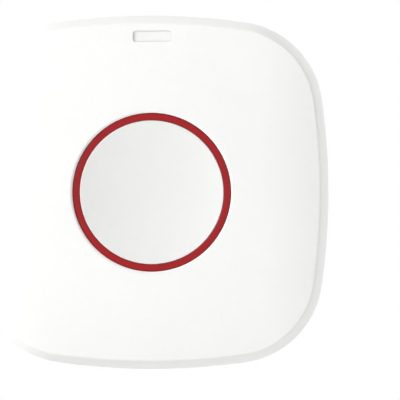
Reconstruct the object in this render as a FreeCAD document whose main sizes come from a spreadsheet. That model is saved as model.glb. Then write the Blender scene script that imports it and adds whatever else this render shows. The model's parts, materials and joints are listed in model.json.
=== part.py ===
import FreeCAD, Part
import math
import os
import Sketcher

# Wireless panic button for a wall, in millimetres.
# It hangs upright: +X is right, +Z is up, and the front looks along -Y.
# The origin is the middle of the face that lies on the wall. A depth is a distance from the wall.

os.makedirs("parts", exist_ok=True)

SIZES = {
    # outline of the housing, a square with bulging sides and round corners
    "half_size": 31.0,
    "side_radius": 113.8,
    "corner_radius": 15.8,
    # front cover
    "front_wall": 1.8,
    "seam_drop": 3.2,
    "seam_gap": 0.3,
    "side_middle_depth": 10.0,
    "side_middle_inset": 0.35,
    "side_top_rise": 0.2,
    "side_top_inset": 2.1,
    "crown_depth": 16.5,
    "crown_radius": 400.0,
    "crown_flat_reach": 20.0,
    "crown_edge_radius": 60.0,
    "crown_overrun": 4.0,
    "shoulder_round": 0.5,
    "shoulder_width": 2.7,
    "opening_bevel": 0.45,
    "seat_land_width": 3.6,
    "seat_land_drop": 3.2,
    "rib_step": 0.6,
    "rib_reach": 4.4,
    "rib_thickness": 1.0,
    "rib_drop": 0.6,
    "rib_root": 1.0,
    "overrun": 1.0,
    # red ring round the button
    "ring_radius": 13.84,
    "ring_width": 1.19,
    "ring_drop": 0.7,
    "ring_round": 0.3,
    "ring_inner_round": 0.1,
    "ring_fit": 0.06,
    "ring_flange_width": 2.7,
    "ring_flange": 1.0,
    # button cap
    "cap_gap": 0.08,
    "cap_wall": 1.2,
    "cap_dish_drop": 1.65,
    "cap_dish_radius": 78.0,
    "cap_edge_round": 0.12,
    "cap_skirt_wall": 1.2,
    "cap_skirt_drop": 4.5,
    "cap_travel": 0.8,
    "cap_stop_gap": 0.05,
    "cap_lug_reach": 0.5,
    "cap_lug_width": 4.0,
    "cap_lug_thickness": 0.95,
    "cap_ribs": 6,
    "cap_seat": 0.1,
    "cap_seat_bore": 4.6,
    "cap_locator": 0.8,
    "cap_locator_wall": 0.7,
    "cap_rib_thickness": 0.8,
    "cap_post_radius": 2.2,
    # button guide
    "guide_plate": 1.2,
    "guide_plate_reach": 4.4,
    "guide_tube_wall": 1.3,
    "guide_lug_gap": 0.35,
    "guide_floor": 0.9,
    "guide_floor_drop": 5.5,
    "guide_hub_radius": 7.6,
    "guide_hub_bore": 4.9,
    "guide_lip": 0.6,
    "guide_lip_wall": 0.6,
    "guide_ear_radius": 2.6,
    "guide_spoke_width": 2.4,
    "stake_reach": 6.6,
    "stake_radius": 0.9,
    "stake_gap": 0.1,
    "stake_head_radius": 1.6,
    "stake_head": 0.7,
    "stake_post_margin": 0.3,
    # return spring
    "spring_wire": 0.45,
    "spring_radius": 5.5,
    "spring_flare": 0.75,
    "spring_turns": 3.0,
    "spring_gap": 0.3,
    # indicator window
    "slot_width": 6.7,
    "slot_height": 1.9,
    "slot_corner": 0.55,
    "slot_inset": 3.7,
    "slot_depth": 0.28,
    "window_fit": 0.02,
    "window_rear_drop": 4.9,
    "window_leg_step": 0.5,
    "window_leg_width": 5.4,
    "window_leg_end": 3.4,
    "diode_height": 0.7,
    "diode_gap": 0.2,
    # circuit board
    "board_gap": 0.4,
    "board_thickness": 1.2,
    "board_drop": 8.6,
    "board_screw_inset": 11.7,
    "board_boss_radius": 2.5,
    "board_pilot_radius": 0.95,
    "board_pilot_length": 3.2,
    "board_hole_gap": 0.25,
    "screw_shank_radius": 0.95,
    "screw_head_radius": 1.9,
    "screw_head": 1.3,
    "screw_length": 4.2,
    "screw_head_round": 0.7,
    "screw_recess_length": 2.0,
    "screw_recess_width": 0.5,
    "screw_recess_depth": 0.7,
    # coin cell and its holder
    "cell_radius": 12.25,
    "cell_board_gap": 0.55,
    "cell_lid_inset": 1.65,
    "cell_depth": 2.35,
    "cell_edge_round": 0.35,
    "cell_lid_step": 0.4,
    "cell_rest_place": 7.0,
    "cell_rest_length": 12.0,
    "cell_rest_gap": 0.05,
    "holder_gap": 0.15,
    "holder_wall": 1.4,
    "holder_rim_depth": 3.4,
    "holder_floor_gap": 0.05,
    "holder_floor_bore": 9.0,
    "holder_notch": 8.0,
    "holder_notch_reach": 5.6,
    "holder_peg_radius": 0.6,
    "holder_peg_gap": 0.1,
    "holder_peg_stand": 0.3,
    "contact_metal": 0.3,
    "clip_width": 5.0,
    "clip_gap": 0.3,
    "clip_foot": 1.6,
    "bend_radius": 0.25,
    "leaf_metal": 0.2,
    "leaf_length": 12.0,
    "leaf_foot": 3.0,
    "leaf_tip": 2.5,
    "contact_width": 4.0,
    # push switch
    "switch_size": 6.0,
    "switch_body": 3.2,
    "switch_plate": 0.3,
    "switch_stem_radius": 1.75,
    "switch_stem_gap": 0.08,
    "switch_stem_drop": 3.05,
    "switch_stem_length": 2.5,
    "switch_pin": 1.0,
    "switch_pin_width": 0.7,
    "switch_pin_place": 2.25,
    "switch_rivet": 0.35,
    "switch_rivet_height": 0.42,
    "switch_rivet_inset": 0.8,
    # radio and other parts on the board
    "radio_gap": 0.1,
    "radio_y": -7.0,
    "radio_width": 10.0,
    "radio_height": 13.0,
    "radio_board": 0.6,
    "radio_margin": 0.7,
    "shield_height": 1.1,
    "shield_round": 0.3,
    "antenna_inset": 5.8,
    "antenna_length": 22.0,
    "antenna_rise": 2.2,
    "antenna_bend": 1.0,
    "antenna_wire": 0.35,
    "chip_x": 11.5,
    "chip_inset": 13.0,
    "chip_size": 5.0,
    "chip_height": 0.85,
    "chip_mark": 0.35,
    "chip_mark_depth": 0.1,
    "crystal_width": 3.2,
    "crystal_height": 1.5,
    "crystal_corner": 0.4,
    "crystal_thickness": 0.7,
    "capacitor_x": -10.0,
    "capacitor_inset": 9.5,
    "capacitor_width": 7.3,
    "capacitor_height": 4.3,
    "capacitor_thickness": 1.9,
    "part_length": 1.6,
    "part_width": 0.8,
    "part_height": 0.55,
    "part_pitch": 1.6,
    "part_count": 6,
    "part_row_x": 9.0,
    "part_row_inset": 10.0,
    # rear cover
    "rear_wall": 1.8,
    "rear_face_inset": 2.3,
    "rear_flank_inset": 0.75,
    "rear_edge_round": 0.6,
    "spigot_gap": 0.25,
    "spigot_wall": 1.2,
    "spigot_board_gap": 0.6,
    "gasket_width": 0.9,
    "gasket_groove": 0.6,
    "snap_width": 8.0,
    "snap_drop": 1.0,
    "snap_height": 0.9,
    "snap_reach": 0.5,
    "snap_gap": 0.15,
    "snap_ramp": 0.3,
    "notch_width": 7.0,
    "notch_height": 1.3,
    "notch_reach": 0.4,
    "wall_hole_spacing": 38.0,
    "wall_hole_radius": 2.1,
    "wall_boss_radius": 5.3,
    "wall_boss_depth": 3.1,
    "wall_seat_radius": 4.0,
    "wall_seat_depth": 1.4,
}


class Size:
    """A number that also knows the formula it comes from, so that a feature stays bound to the sheet."""

    def __init__(self, number, text):
        self.number = number
        self.text = text

    def __add__(self, other):
        other = size_of(other)
        return Size(self.number + other.number, f"({self.text} + {other.text})")

    def __radd__(self, other):
        return size_of(other) + self

    def __sub__(self, other):
        other = size_of(other)
        return Size(self.number - other.number, f"({self.text} - {other.text})")

    def __rsub__(self, other):
        return size_of(other) - self

    def __mul__(self, other):
        other = size_of(other)
        return Size(self.number * other.number, f"({self.text} * {other.text})")

    def __rmul__(self, other):
        return size_of(other) * self

    def __truediv__(self, other):
        other = size_of(other)
        return Size(self.number / other.number, f"({self.text} / {other.text})")

    def __neg__(self):
        return Size(-self.number, f"(0 - {self.text})")


def size_of(value):
    if isinstance(value, Size):
        return value
    return Size(float(value), str(float(value)))


def root(value):
    return Size(math.sqrt(value.number), f"sqrt({value.text})")


doc = FreeCAD.newDocument("panic_button")
sheet = doc.addObject("Spreadsheet::Sheet", "Sizes")
for row, (alias, value) in enumerate(SIZES.items(), start=1):
    sheet.set(f"A{row}", alias)
    sheet.set(f"B{row}", str(value))
    sheet.setAlias(f"B{row}", alias)
doc.recompute()


class Sheet:
    """The cells of the sheet by name."""

    def __getattr__(self, alias):
        return Size(float(SIZES[alias]), f"Sizes.{alias}")


s = Sheet()
nodes = {}


def piece(name):
    body = doc.addObject("PartDesign::Body", name)
    body.Label = name
    nodes[name] = body
    return body


def bind(feature, field, value):
    value = size_of(value)
    feature.setExpression(field, value.text)


# Sketches. A sketch on XZ_Plane sees the object from the front, x right and y up, at a depth.
# A sketch on XY_Plane is a section: x is the distance from the middle, y is minus the depth.


def new_sketch(body, name, plane="XZ_Plane", depth=None):
    sketch = body.newObject("Sketcher::SketchObject", f"{body.Name}_{name}")
    support = next(f for f in body.Origin.OriginFeatures if f.Role == plane)
    sketch.AttachmentSupport = [(support, "")]
    sketch.MapMode = "FlatFace"
    if depth is not None:
        bind(sketch, "AttachmentOffset.Base.z", depth)
    return sketch


def vector(x, y):
    return FreeCAD.Vector(size_of(x).number, size_of(y).number, 0)


def hold(sketch, kind, *places, value):
    value = size_of(value)
    index = sketch.addConstraint(Sketcher.Constraint(kind, *places, value.number))
    sketch.setExpression(f"Constraints[{index}]", value.text)


def hold_point(sketch, curve, end, x, y):
    hold(sketch, "DistanceX", -1, 1, curve, end, value=x)
    hold(sketch, "DistanceY", -1, 1, curve, end, value=y)


def circle(sketch, x, y, radius):
    curve = sketch.addGeometry(Part.Circle(vector(x, y), FreeCAD.Vector(0, 0, 1), size_of(radius).number))
    hold_point(sketch, curve, 3, x, y)
    hold(sketch, "Radius", curve, value=radius)


def outline(sketch, corners, closed=True):
    """An outline from corner to corner. A corner (x, y, radius) has an arc that leads on from it.

    The arc bulges to the right of its way on if the radius is above zero, and to the left if it is below.
    """
    ends = []
    for index, corner in enumerate(corners if closed else corners[:-1]):
        start = vector(corner[0], corner[1])
        following = corners[(index + 1) % len(corners)]
        stop = vector(following[0], following[1])
        if len(corner) == 2:
            ends.append((sketch.addGeometry(Part.LineSegment(start, stop)), 1, 2))
            continue
        radius = size_of(corner[2])
        way = stop - start
        across = FreeCAD.Vector(-way.y, way.x, 0).normalize()
        rise = math.sqrt(max(radius.number**2 - way.Length**2 / 4, 0))
        centre = (start + stop) / 2 + across * math.copysign(rise, radius.number)
        ring = Part.Circle(centre, FreeCAD.Vector(0, 0, 1), abs(radius.number))
        first, last = (start, stop) if radius.number > 0 else (stop, start)
        arc = Part.ArcOfCircle(ring, ring.parameter(first), ring.parameter(last))
        curve = sketch.addGeometry(arc)
        ends.append((curve, 1, 2) if radius.number > 0 else (curve, 2, 1))
        hold(sketch, "Radius", curve, value=radius if radius.number > 0 else -radius)
    for index, (curve, start, _) in enumerate(ends):
        if closed or index:
            previous, _, stop = ends[index - 1]
            sketch.addConstraint(Sketcher.Constraint("Coincident", previous, stop, curve, start))
        hold_point(sketch, curve, start, corners[index][0], corners[index][1])
    if not closed:
        curve, _, stop = ends[-1]
        hold_point(sketch, curve, stop, corners[-1][0], corners[-1][1])


def rectangle(sketch, x, y, width, height):
    left, right = x - width / 2, x + width / 2
    low, high = y - height / 2, y + height / 2
    outline(sketch, [(left, low), (right, low), (right, high), (left, high)])


def rounded_rectangle(sketch, x, y, width, height, corner):
    left, right = x - width / 2, x + width / 2
    low, high = y - height / 2, y + height / 2
    outline(
        sketch,
        [
            (left + corner, low),
            (right - corner, low, corner),
            (right, low + corner),
            (right, high - corner, corner),
            (right - corner, high),
            (left + corner, high, corner),
            (left, high - corner),
            (left, low + corner, corner),
        ],
    )


def soft_square(sketch, inset):
    """The outline of the housing, moved inwards. Its eight tangent arcs keep their centres."""
    side, corner = s.side_radius - inset, s.corner_radius - inset
    reach = s.side_radius - s.half_size
    gap = s.side_radius - s.corner_radius
    # centre of a corner arc, from the right triangle between it and the centre of a side arc
    centre = (root(2 * gap * gap - reach * reach) - reach) / 2
    along = (centre + reach) / gap
    across = centre / gap
    far = side * along - reach
    near = side * across
    corners = [(far, -near, side), (far, near, corner)]
    corners += [(near, far, side), (-near, far, corner)]
    corners += [(-far, near, side), (-far, -near, corner)]
    corners += [(-near, -far, side), (near, -far, corner)]
    outline(sketch, corners)


# Features


def pad(body, sketch, length, midplane=False):
    feature = body.newObject("PartDesign::Pad", f"{sketch.Name}_pad")
    feature.Profile = sketch
    feature.Midplane = midplane
    bind(feature, "Length", length)
    return feature


def pocket(body, sketch, length=None, midplane=False, forwards=False):
    feature = body.newObject("PartDesign::Pocket", f"{sketch.Name}_pocket")
    feature.Profile = sketch
    feature.Midplane = midplane
    feature.Reversed = forwards
    if length is None:
        feature.Type = "ThroughAll"
    else:
        bind(feature, "Length", length)
    return feature


def turn(body, sketch, cut=False):
    kind = "Groove" if cut else "Revolution"
    feature = body.newObject(f"PartDesign::{kind}", f"{sketch.Name}_{kind.lower()}")
    feature.Profile = sketch
    feature.ReferenceAxis = (sketch, ["V_Axis"])
    feature.Angle = 360.0
    return feature


def loft(body, sketches, cut=False, ruled=False):
    kind = "SubtractiveLoft" if cut else "AdditiveLoft"
    feature = body.newObject(f"PartDesign::{kind}", f"{sketches[0].Name}_loft")
    feature.Profile = sketches[0]
    feature.Sections = sketches[1:]
    feature.Ruled = ruled
    return feature


def around(body, features, sketch, count):
    """Copies of the features, spaced evenly round the axis that looks out of the wall."""
    pattern = body.newObject("PartDesign::PolarPattern", f"{features[0].Name}_around")
    pattern.Originals = features
    pattern.Axis = (sketch, ["N_Axis"])
    pattern.Angle = 360.0
    bind(pattern, "Occurrences", count)
    body.Tip = pattern
    return pattern


def round_edges(body, name, radius, wanted, kind="Fillet"):
    """Rounds or bevels the edges of the body so far that pass the test."""
    doc.recompute()
    base = body.Tip
    chosen = [f"Edge{i}" for i, edge in enumerate(base.Shape.Edges, start=1) if wanted(edge)]
    feature = body.newObject(f"PartDesign::{kind}", f"{body.Name}_{name}")
    feature.Base = (base, chosen)
    bind(feature, "Radius" if kind == "Fillet" else "Size", radius)
    return feature


def depth_range(edge):
    box = edge.BoundBox
    return -box.YMax, -box.YMin


# Depths and radii that several pieces share

board_rear = s.crown_depth - s.board_drop
board_front = board_rear + s.board_thickness
seam_rear = board_rear - s.seam_drop
seam = seam_rear + s.seam_gap
side_top = s.crown_depth + s.side_top_rise
spigot_top = board_rear - s.spigot_board_gap
snap_low = spigot_top - s.snap_drop
peg_place = s.cell_radius + s.holder_gap + s.holder_wall / 2
cell_thickness = board_rear - s.cell_board_gap - s.cell_depth
opening_radius = s.ring_radius + s.ring_fit
bore_radius = s.ring_radius - s.ring_width
cap_radius = bore_radius - s.cap_gap
seat_land = s.crown_depth - s.seat_land_drop
ring_rear = seat_land - s.ring_flange
guide_rear = ring_rear - s.guide_plate
guide_bore = cap_radius + s.cap_lug_reach + s.guide_lug_gap
guide_floor_top = s.crown_depth - s.guide_floor_drop
stake_circle = s.ring_radius + s.stake_reach
ring_top = s.crown_depth - s.ring_drop
dish_low = s.crown_depth - s.cap_dish_drop
skirt_low = s.crown_depth - s.cap_skirt_drop
cap_ceiling = dish_low - s.cap_wall
spring_seat = cap_ceiling - s.cap_seat
stem_top = s.crown_depth - s.switch_stem_drop
screw_place = s.half_size - s.board_screw_inset
slot_up = s.half_size - s.slot_inset
window_rear = s.crown_depth - s.window_rear_drop
spigot_inset = s.front_wall + s.spigot_gap
gasket_inset = (s.front_wall - s.gasket_width) / 2

screw_count, snap_count, rivet_count = 4, 4, 4
stake_count, lug_count = 3, 3

# how near two lengths are that count as the same
near = 0.01

# how finely the coil of the spring is divided, and how much of each end turn lies flat
spring_stations = 20
spring_corners = 8
spring_flat_turns = 0.5


def crown_fall(distance, inset=size_of(0)):
    """How far the crown has fallen at a distance from its middle line. Its flatter arc ends at a joint."""
    middle, edge = s.crown_radius - inset, s.crown_edge_radius - inset
    sine = s.crown_flat_reach / s.crown_radius
    joint = middle * sine
    if distance.number <= joint.number:
        return middle - root(middle * middle - distance * distance)
    cosine = root(1 - sine * sine)
    far_sine = sine + (distance - joint) / edge
    return middle * (1 - cosine) + edge * (cosine - root(1 - far_sine * far_sine))


def crown_at(x, y):
    """The depth of the crowned face at a place to the upper right of the middle."""
    return s.crown_depth - crown_fall(x) - crown_fall(y)


def crowned_block(body, inset, foot):
    """The form of the front cover, smaller by the inset: bulging sides under a crowned face."""
    levels = [
        ("foot", foot, inset),
        ("middle", s.side_middle_depth, s.side_middle_inset + inset),
        ("top", side_top, s.side_top_inset + inset),
    ]
    sketches = []
    for name, depth, level_inset in levels:
        sketches.append(new_sketch(body, name, depth=depth))
        soft_square(sketches[-1], level_inset)
    loft(body, sketches)
    # the crown: one section of three tangent arcs, swept along the same three arcs
    reach = s.half_size + s.crown_overrun
    middle, edge = s.crown_radius - inset, s.crown_edge_radius - inset
    joint = middle * s.crown_flat_reach / s.crown_radius
    joint_fall, far_fall = crown_fall(joint, inset), crown_fall(reach, inset)
    top = inset - s.crown_depth
    section = new_sketch(body, "crown_section", "XY_Plane", depth=-reach)
    start = top + far_fall
    corners = [
        (-reach, start + far_fall, edge),
        (-joint, start + joint_fall, middle),
        (joint, start + joint_fall, edge),
        (reach, start + far_fall),
        (reach, start - s.crown_overrun),
        (-reach, start - s.crown_overrun),
    ]
    outline(section, corners)
    path = new_sketch(body, "crown_path", "YZ_Plane")
    corners = [(start, -reach, -edge), (top + joint_fall, -joint, -middle)]
    corners += [(top + joint_fall, joint, -edge), (start, reach)]
    outline(path, corners, closed=False)
    sweep = body.newObject("PartDesign::SubtractivePipe", f"{body.Name}_crown")
    sweep.Profile = section
    sweep.Spine = path
    sweep.Mode = "Fixed"


def ring_pad(body, name, depth, length, outer, inner=None, x=0, y=0):
    """A round boss, or a tube if it has an inner radius, from a depth towards the front."""
    sketch = new_sketch(body, name, depth=depth)
    circle(sketch, x, y, outer)
    if inner is not None:
        circle(sketch, x, y, inner)
    return pad(body, sketch, length)


def box_pad(body, name, depth, length, x, y, width, height):
    sketch = new_sketch(body, name, depth=depth)
    rectangle(sketch, size_of(x), size_of(y), size_of(width), size_of(height))
    return pad(body, sketch, length)


def front_cover():
    core = doc.addObject("PartDesign::Body", "front_cover_core")
    crowned_block(core, s.front_wall, seam - s.overrun)
    body = piece("front_cover")
    crowned_block(body, size_of(0), seam)
    outer = s.half_size - s.shoulder_width

    def on_shoulder(edge):
        low = depth_range(edge)[0]
        ends = edge.Vertexes
        x = sum(end.X for end in ends) / len(ends)
        z = sum(end.Z for end in ends) / len(ends)
        return low > s.side_middle_depth.number and (x**4 + z**4) ** 0.25 > outer.number

    round_edges(body, "shoulder", s.shoulder_round, on_shoulder)
    hollow = body.newObject("PartDesign::Boolean", "front_cover_hollow")
    hollow.Type = "Cut"
    hollow.setObjects([core])

    # flat land behind the face, where the flange of the ring bears
    land_top = s.crown_depth - s.front_wall / 2
    land = opening_radius + s.seat_land_width
    ring_pad(body, "land", seat_land, land_top - seat_land, land)
    opening = new_sketch(body, "opening", depth=s.crown_depth + s.overrun)
    circle(opening, 0, 0, opening_radius)
    pocket(body, opening, s.crown_depth + s.overrun - ring_rear)

    def on_lip(edge):
        at_face = depth_range(edge)[0] > land_top.number
        return at_face and abs(edge.BoundBox.XMax - opening_radius.number) < near

    round_edges(body, "lip", s.opening_bevel, on_lip, kind="Chamfer")

    # bosses for the screws of the circuit board, each tied to its corner by a rib
    place = screw_place
    boss_top = crown_at(place, place) - s.front_wall / 2
    boss = ring_pad(body, "boss", board_front, boss_top - board_front, s.board_boss_radius, x=place, y=place)
    rib = new_sketch(body, "rib", depth=board_front + s.rib_step)
    diagonal_bar(rib, place, place + s.rib_reach, s.rib_thickness)
    rib_pad = pad(body, rib, boss_top - s.rib_drop - board_front - s.rib_step)
    around(body, [boss, rib_pad], rib, screw_count)
    pilot = new_sketch(body, "pilot", depth=board_front)
    circle(pilot, place, place, s.board_pilot_radius)
    around(body, [pocket(body, pilot, s.board_pilot_length, forwards=True)], pilot, screw_count)

    # pins that hold the button guide, with their heads already formed
    pin_top = crown_at(size_of(0), stake_circle) - s.front_wall / 2
    pin_low = guide_rear - s.stake_head
    down = -stake_circle
    post_radius = s.stake_head_radius + s.stake_post_margin
    post = ring_pad(body, "post", ring_rear, pin_top - ring_rear, post_radius, y=down)
    pin = ring_pad(body, "pin", pin_low, pin_top - pin_low, s.stake_radius, y=down)
    head = ring_pad(body, "head", pin_low, s.stake_head, s.stake_head_radius, y=down)
    around(body, [post, pin, head], head.Profile[0], stake_count)

    # slot of the indicator window
    slot = new_sketch(body, "slot", depth=s.crown_depth)
    rounded_rectangle(slot, size_of(0), slot_up, s.slot_width, s.slot_height, s.slot_corner)
    pocket(body, slot, s.crown_depth - window_rear)

    # recesses in the side walls that the snaps of the rear cover enter
    catch_width = s.snap_width + 2 * s.snap_gap
    catch_low = s.half_size - spigot_inset - s.snap_gap
    catch_high = s.half_size - spigot_inset + s.snap_reach + s.snap_gap
    catch = new_sketch(body, "catch", depth=snap_low - s.snap_gap)
    rectangle(catch, size_of(0), (catch_low + catch_high) / 2, catch_width, catch_high - catch_low)
    around(body, [pocket(body, catch, s.snap_height + 2 * s.snap_gap, forwards=True)], catch, snap_count)


def diagonal_bar(sketch, start, stop, thickness):
    """A bar along the diagonal to the upper right, from (start, start) to (stop, stop)."""
    side = thickness / 2 / math.sqrt(2)
    corners = [(start - side, start + side), (start + side, start - side)]
    corners += [(stop + side, stop - side), (stop - side, stop + side)]
    outline(sketch, corners)


def alarm_ring():
    body = piece("alarm_ring")
    section = new_sketch(body, "section", "XY_Plane")
    flange = s.ring_radius + s.ring_flange_width
    crest, soft, inner_soft = ring_top, s.ring_round, s.ring_inner_round
    corners = [
        (bore_radius, -ring_rear),
        (flange, -ring_rear),
        (flange, -seat_land),
        (s.ring_radius, -seat_land),
        (s.ring_radius, soft - crest, -soft),
        (s.ring_radius - soft, -crest),
        (bore_radius + inner_soft, -crest, -inner_soft),
        (bore_radius, inner_soft - crest),
    ]
    outline(section, corners)
    turn(body, section)


def button_cap():
    body = piece("button_cap")
    section = new_sketch(body, "section", "XY_Plane")
    shoulder = cap_radius - s.cap_edge_round
    dish = s.cap_dish_radius
    edge = dish_low + dish - root(dish * dish - shoulder * shoulder)
    inside = cap_radius - s.cap_skirt_wall
    under = dish + s.cap_wall
    ceiling_edge = cap_ceiling + under - root(under * under - inside * inside)
    corners = [
        (size_of(0), -dish_low, -dish),
        (shoulder, -edge, s.cap_edge_round),
        (cap_radius, s.cap_edge_round - edge),
        (cap_radius, -skirt_low),
        (inside, -skirt_low),
        (inside, -ceiling_edge, under),
        (size_of(0), -cap_ceiling),
    ]
    outline(section, corners)
    turn(body, section)

    # post over the switch, flat seat of the spring and the wall that keeps the spring in place
    seat_top = dish_low - s.cap_wall / 2
    ring_pad(body, "post", stem_top, seat_top - stem_top, s.cap_post_radius)
    spring_outer = s.spring_radius + s.spring_flare + s.spring_wire / 2
    wall_in = spring_outer + s.spring_gap
    wall_out = wall_in + s.cap_locator_wall
    ring_pad(body, "seat", spring_seat, seat_top - spring_seat, wall_out, s.cap_seat_bore)
    ring_pad(body, "locator", spring_seat - s.cap_locator, s.cap_locator, wall_out, wall_in)

    # ribs from there out to the skirt
    rib = new_sketch(body, "rib", depth=spring_seat - s.cap_locator)
    start, stop = wall_out - s.cap_locator_wall / 2, cap_radius - s.cap_skirt_wall / 2
    rectangle(rib, (start + stop) / 2, size_of(0), stop - start, s.cap_rib_thickness)
    around(body, [pad(body, rib, seat_top - spring_seat + s.cap_locator)], rib, s.cap_ribs)

    # lugs on the skirt that stop the cap behind the ring
    lug_top = ring_rear - s.cap_stop_gap
    lug = new_sketch(body, "lug", depth=lug_top - s.cap_lug_thickness)
    lug_in, lug_out = inside, cap_radius + s.cap_lug_reach
    rectangle(lug, size_of(0), (lug_in + lug_out) / 2, s.cap_lug_width, lug_out - lug_in)
    around(body, [pad(body, lug, s.cap_lug_thickness)], lug, lug_count)


def button_guide():
    body = piece("button_guide")
    floor_low = guide_floor_top - s.guide_floor
    ring_pad(body, "plate", guide_rear, s.guide_plate, s.ring_radius + s.guide_plate_reach, guide_bore)
    tube = guide_bore + s.guide_tube_wall
    ring_pad(body, "tube", floor_low, ring_rear - floor_low, tube, guide_bore)
    ring_pad(body, "hub", floor_low, s.guide_floor, s.guide_hub_radius, s.guide_hub_bore)
    lip = s.guide_hub_radius - s.guide_lip_wall
    ring_pad(body, "lip", guide_floor_top, s.guide_lip, s.guide_hub_radius, lip)
    spoke = new_sketch(body, "spoke", depth=floor_low)
    start, stop = s.guide_hub_radius - s.guide_lip_wall, guide_bore + s.guide_tube_wall / 2
    rectangle(spoke, size_of(0), -(start + stop) / 2, s.guide_spoke_width, stop - start)
    spoke_pad = pad(body, spoke, s.guide_floor)
    ear = ring_pad(body, "ear", guide_rear, s.guide_plate, s.guide_ear_radius, y=-stake_circle)
    around(body, [spoke_pad, ear], spoke, stake_count)
    hole = new_sketch(body, "hole", depth=ring_rear)
    circle(hole, 0, -stake_circle, s.stake_radius + s.stake_gap)
    around(body, [pocket(body, hole, s.guide_plate)], hole, stake_count)


def return_spring():
    """A slightly conical coil with flat end turns, lofted through sections that face round the axis."""
    height = (spring_seat - guide_floor_top - s.spring_wire).number
    turns, wire = s.spring_turns.number, s.spring_wire.number / 2
    stations = round(turns * spring_stations)
    sections = []
    for station in range(stations + 1):
        turn_count = turns * station / stations
        climb = (turn_count - spring_flat_turns) / (turns - 2 * spring_flat_turns)
        depth = guide_floor_top.number + wire + height * min(max(climb, 0), 1)
        radius = s.spring_radius.number + s.spring_flare.number * (1 - station / stations)
        angle = 2 * math.pi * turn_count
        outwards = FreeCAD.Vector(math.cos(angle), 0, math.sin(angle))
        forwards = FreeCAD.Vector(0, -1, 0)
        centre = outwards * radius + forwards * depth
        points = []
        for corner in range(spring_corners + 1):
            lean = 2 * math.pi * (corner % spring_corners + 0.5) / spring_corners
            points.append(centre + (outwards * math.cos(lean) + forwards * math.sin(lean)) * wire)
        sections.append(Part.makePolygon(points))
    spring = doc.addObject("Part::Feature", "return_spring")
    spring.Label = "return_spring"
    spring.Shape = Part.makeLoft(sections, True, True)
    spring.Placement = FreeCAD.Placement()
    nodes["return_spring"] = spring


def indicator_window():
    body = piece("indicator_window")
    fit = 2 * s.window_fit
    # the face of the lens leans as the crown does, a little below it
    height = s.slot_height - fit
    low, high = slot_up - height / 2, slot_up + height / 2
    low_face = crown_at(size_of(0), low) - s.slot_depth
    high_face = crown_at(size_of(0), high) - s.slot_depth
    lens = new_sketch(body, "lens", "YZ_Plane")
    outline(lens, [(-window_rear, low), (-low_face, low), (-high_face, high), (-window_rear, high)])
    pad(body, lens, s.slot_width - fit, midplane=True)

    def on_corner(edge):
        box = edge.BoundBox
        return box.XLength < near and box.ZLength < near

    round_edges(body, "corners", s.slot_corner - s.window_fit, on_corner)
    # light leg that ends just over the diode
    leg_low = board_front + s.diode_height + s.diode_gap
    leg_height = height - s.window_leg_step
    up = slot_up - s.window_leg_step / 2
    wide = new_sketch(body, "leg_top", depth=window_rear)
    rectangle(wide, size_of(0), up, s.window_leg_width, leg_height)
    narrow = new_sketch(body, "leg_end", depth=leg_low)
    rectangle(narrow, size_of(0), up, s.window_leg_end, leg_height)
    loft(body, [wide, narrow], ruled=True)


def circuit_board():
    body = piece("circuit_board")
    board = new_sketch(body, "board", depth=board_rear)
    soft_square(board, s.front_wall + s.side_middle_inset + s.board_gap)
    pad(body, board, s.board_thickness)
    place = screw_place
    hole = new_sketch(body, "hole", depth=board_front)
    circle(hole, place, place, s.screw_shank_radius + s.board_hole_gap)
    around(body, [pocket(body, hole, s.board_thickness)], hole, screw_count)
    pegs = new_sketch(body, "pegs", depth=board_front)
    for side in (-1, 1):
        circle(pegs, side * peg_place, 0, s.holder_peg_radius + s.holder_peg_gap)
    pocket(body, pegs, s.board_thickness)


def board_screws():
    body = piece("board_screws")
    body.AllowCompound = True
    place = screw_place
    head_low = board_rear - s.screw_head
    ring_pad(body, "head", head_low, s.screw_head, s.screw_head_radius, x=place, y=place)

    def on_rim(edge):
        return depth_range(edge)[1] < head_low.number + near

    round_edges(body, "dome", s.screw_head_round, on_rim)
    ring_pad(body, "shank", board_rear, s.screw_length, s.screw_shank_radius, x=place, y=place)
    recess = new_sketch(body, "recess", depth=head_low)
    arm, slot = s.screw_recess_length / 2, s.screw_recess_width / 2
    corners = [(-arm, -slot), (-slot, -slot), (-slot, -arm), (slot, -arm), (slot, -slot), (arm, -slot)]
    corners += [(arm, slot), (slot, slot), (slot, arm), (-slot, arm), (-slot, slot), (-arm, slot)]
    outline(recess, [(place + x, place + y) for x, y in corners])
    pocket(body, recess, s.screw_recess_depth, forwards=True)
    pattern = body.newObject("PartDesign::PolarPattern", "board_screws_around")
    pattern.TransformMode = "Whole shape"
    pattern.Axis = (recess, ["N_Axis"])
    pattern.Angle = 360.0
    pattern.Occurrences = screw_count
    body.Tip = pattern


def battery_holder():
    body = piece("battery_holder")
    inner = s.cell_radius + s.holder_gap
    outer = inner + s.holder_wall
    ring_pad(body, "wall", s.holder_rim_depth, board_rear - s.holder_rim_depth, outer, inner)
    cell_front = s.cell_depth + cell_thickness
    floor = cell_front + s.holder_floor_gap
    ring_pad(body, "floor", floor, board_rear - floor, inner + s.holder_wall / 2, s.holder_floor_bore)
    notch = new_sketch(body, "notch", depth=s.holder_rim_depth)
    rectangle(notch, outer, size_of(0), s.holder_notch_reach, s.holder_notch)
    pocket(body, notch, cell_thickness / 2, forwards=True)
    peg_length = s.board_thickness + s.holder_peg_stand
    for side in (-1, 1):
        name = "peg_left" if side < 0 else "peg_right"
        ring_pad(body, name, board_rear, peg_length, s.holder_peg_radius, x=side * peg_place)


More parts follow.
